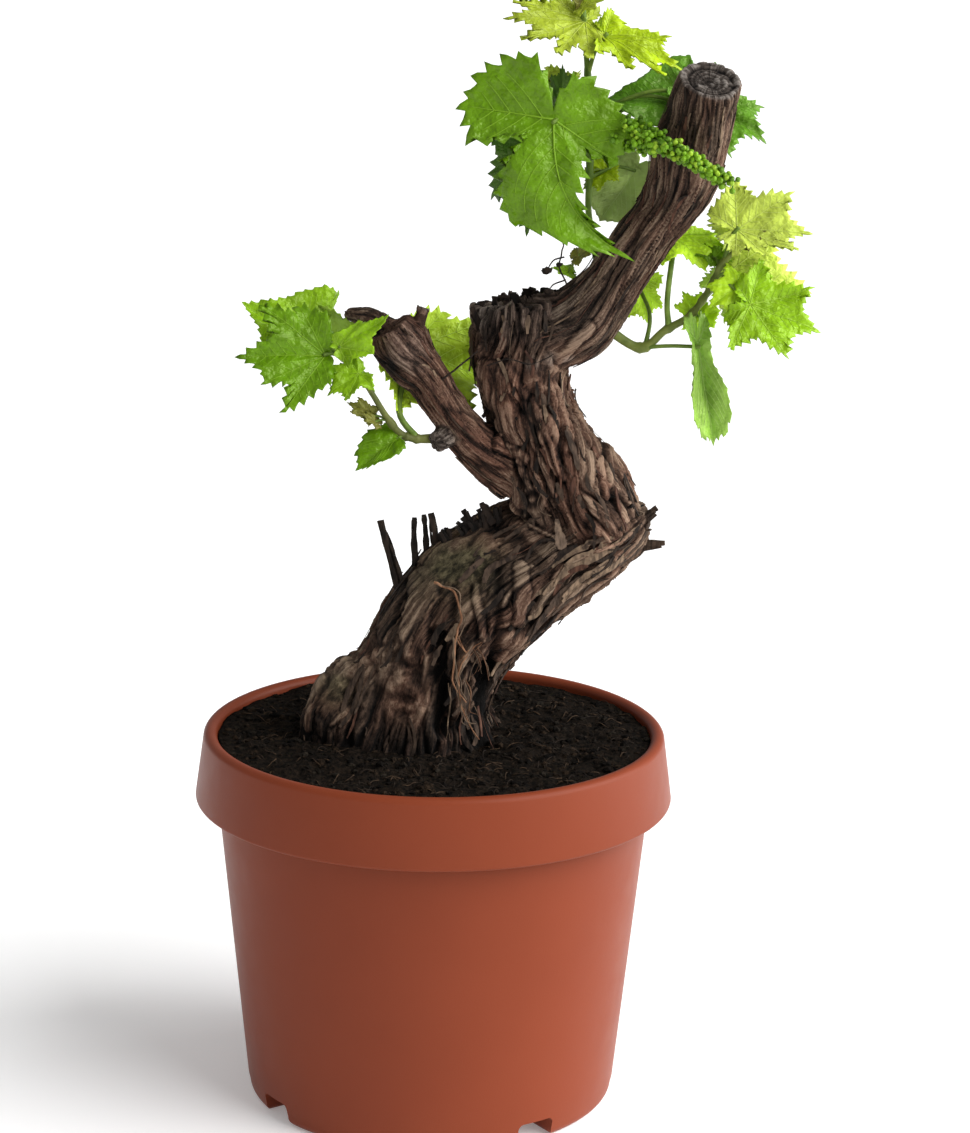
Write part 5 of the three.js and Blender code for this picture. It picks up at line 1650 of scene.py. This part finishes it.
def build_shoots():
    """Leaves with their veins and stalks, and the three shoots' stems."""
    names = list(TINTS)
    blade_materials = [leaf_finish(f"leaf_{name}", TINTS[name][0], 0.34) for name in names]
    blade_materials += [leaf_finish(f"leaf_under_{name}", TINTS[name][1], 0.6) for name in names]
    vein_materials = [
        plain_grain(f"vein_{name}", TINTS[name][2], TINTS[name][2], 0.5, 200, 0.0001) for name in names
    ]
    veins, stalks, stems = Batch(), Batch(), Batch()
    seed = 0
    shoots = (
        ("upper", UPPER_STEM, UPPER_LEAVES + UPPER_TIPS, "leaf_green"),
        ("right", RIGHT_STEM, RIGHT_LEAVES + RIGHT_TIPS, "young_green"),
        ("left", LEFT_STEM, LEFT_LEAVES + LEFT_TIPS, "leaf_green"),
    )
    for shoot, (name, stem, leaves, slot) in enumerate(shoots):
        blades = Batch()
        for leaf in leaves:
            seed += 1
            tint = names.index(leaf.tint)
            points, upper, under = blade_shape(leaf, seed)
            blades.add(points, (upper, tint), (under, len(names) + tint))
            for shape in vein_shapes(leaf, seed):
                veins.put(shape, tint)
            path = stalk_path(stem, leaf)
            radius = leaf.stalk * min(1.0, 0.35 + leaf_frame(leaf)[0] / 60)
            flare = 1 + 0.5 * np.exp(-np.linspace(0, 9, len(path)))
            stalks.put(tube(path, radius * flare, 8), 1 if leaf.tint in ("young", "lime") else 0)
        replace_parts(blades.piece(f"leaves_{name}", blade_materials, slot), f"{name}_shoot")
        share = np.linspace(0, 1, STEM_STEPS)
        path = spline(stem, share)
        nodes = np.array([leaf.start for leaf in leaves])
        swelling = 0.32 * np.exp(-((share[:, None] - nodes[None]) / 0.018) ** 2).max(1)
        stems.put(tube(path[:, :3], path[:, 3] * (0.88 + swelling), 14), shoot)
    veins.piece("leaf_veins", vein_materials, "leaf_green")
    stalks.piece("leaf_stalks", [
        plain_grain("stalk_green", (84, 108, 38), (110, 134, 54), 0.45, 160, 0.0002),
        plain_grain("stalk_pale", (104, 126, 48), (130, 150, 66), 0.45, 160, 0.0002),
    ], "young_green")
    stems.piece("shoot_stems", [
        plain_grain("stem_green", (78, 104, 36), (106, 130, 54), 0.45, 120, 0.0003),
        plain_grain("stem_olive", (82, 94, 38), (112, 122, 56), 0.45, 120, 0.0003),
        plain_grain("stem_brown", (78, 84, 38), (106, 110, 54), 0.5, 120, 0.0003),
    ], "young_green")


def put_buds(buds, ball, random, foot, way, along, length):
    """Rings of round buds along a side branch, with one at its tip and a few missing."""
    points, faces = ball
    aside = unit(np.cross(way, along))
    third = np.cross(way, aside)
    for step in np.arange(length, 1.6, -0.82 * BUD_SPACING):
        around, reach = (1, 0) if step == length else (4, 0.75 * BUD_SPACING)
        for k in range(around):
            if random.random() < 0.1:
                continue
            spin = 2 * math.pi * (k + random.random()) / around
            out = (aside * math.cos(spin) + third * math.sin(spin)) * reach
            size = BUD_RADIUS * random.uniform(0.8, 1.1)
            tint = int(random.choice(3, p=(0.45, 0.3, 0.25)))
            buds.put((points * size + foot + step * way + out, [faces]), tint)


def build_flowers():
    """Side branches round the stalk, each a short spike of round buds."""
    random = np.random.default_rng(7)
    ball = icosphere(2)
    buds, stalks = Batch(), Batch()
    path = spline(FLOWER_STALK, np.linspace(0, 1, 50))
    stalks.put(tube(path[:, :3], 0.6 * path[:, 3], 8))
    for start, end, count, first, last in FLOWER_CLUSTERS:
        for i in range(count):
            share = i / (count - 1)
            foot, ahead = spline(FLOWER_STALK, np.array((0, 0.02)) + start + (end - start) * share)[:, :3]
            along = unit(ahead - foot) if share < 1 else along
            across = unit(np.cross(along, (0, 0, 1)))
            turn = GOLDEN_TURN * i + 0.4 * random.random()
            outward = across * math.cos(turn) + np.cross(along, across) * math.sin(turn)
            length = (first + (last - first) * share) * random.uniform(0.8, 1.1)
            way = unit(outward + 0.35 * along + random.normal(0, 0.15, 3))
            branch = [foot - 0.6 * way, foot + 0.5 * length * way, foot + length * way]
            stalks.put(tube(branch, (0.5, 0.4, 0.3), 5))
            put_buds(buds, ball, random, foot, way, along, length)
    buds.piece("flower_buds", [
        leaf_finish("bud_green", (102, 146, 24), 0.4), leaf_finish("bud_light", (138, 174, 42), 0.4),
        leaf_finish("bud_deep", (72, 112, 16), 0.4),
    ], "young_green")
    stalks.piece("flower_stalks", [
        plain_grain("flower_stalk", (80, 116, 36), (106, 138, 52), 0.45, 160, 0.0002),
    ], "young_green")


def staged(name, points, faces, glow):
    """A white surface of the studio that gives off a little light of its own."""
    finish = Finish(name, (0.95, 0.95, 0.95, 1), 0.9, 0.1)
    finish.bump(finish.noise(40, 2), 0.0002, 0.2)
    finish.give("Emission Color", (1, 1, 1, 1))
    finish.give("Emission Strength", glow)
    mesh = new_mesh(name, points, faces)
    mesh.materials.append(finish.material)
    piece = linked(name, mesh)
    return piece


def build_stage():
    """Floor, backdrop, lights and camera."""
    half = STUDIO_HALF / MM
    corners = [(-half, -half, 0), (half, -half, 0), (half, half, 0), (-half, half, 0)]
    staged("studio_floor", corners, [(0, 1, 2, 3)], FLOOR_GLOW)
    upper = [(x, y, half) for x, y, _ in corners]
    walls = [(k, 4 + k, 4 + (k + 1) % 4, (k + 1) % 4) for k in range(4)]
    backdrop = staged("studio_backdrop", corners + upper, walls, 1.0)
    backdrop.visible_diffuse = backdrop.visible_glossy = backdrop.visible_shadow = False

    world = bpy.data.worlds.new("studio")
    world.use_nodes = True
    sky = world.node_tree.nodes["Background"].inputs
    sky["Color"].default_value = (1, 1, 1, 1)
    sky["Strength"].default_value = SKY
    bpy.context.scene.world = world
    sun = bpy.data.lights.new("soft_sun", "SUN")
    sun.energy = SUN_ENERGY
    sun.angle = math.radians(SUN_SPREAD)
    linked("soft_sun", sun).rotation_euler = Vector(SUN_FROM).to_track_quat("Z", "Y").to_euler()
    side = bpy.data.lights.new("side_light", "AREA")
    side.energy = SIDE_LIGHT
    side.size = SIDE_LIGHT_SIZE
    panel = linked("side_light", side)
    panel.location = SIDE_LIGHT_PLACE
    aim = Vector(SIDE_LIGHT_PLACE) - Vector(SIDE_LIGHT_AIM)
    panel.rotation_euler = aim.to_track_quat("Z", "Y").to_euler()

    lens = bpy.data.cameras.new("camera")
    lens.sensor_width = SENSOR
    lens.lens = FOCAL_PIXELS / IMAGE_HEIGHT * SENSOR
    camera = linked("camera", lens)
    tilt = Matrix.Rotation(math.radians(90 - CAMERA_PITCH), 4, "X")
    roll = Matrix.Rotation(math.radians(CAMERA_ROLL), 4, "Z")
    camera.location = CAMERA_PLACE
    camera.rotation_euler = (tilt @ roll).to_euler()
    bpy.context.scene.camera = camera
    bpy.context.scene.view_settings.view_transform = "Standard"


build_stage()
build_pot()
build_soil()
wood_tree = build_wood()
build_loose_bark(wood_tree)
build_splinters(wood_tree)
build_flaps(wood_tree)
build_hairs()
build_shoots()
build_flowers()
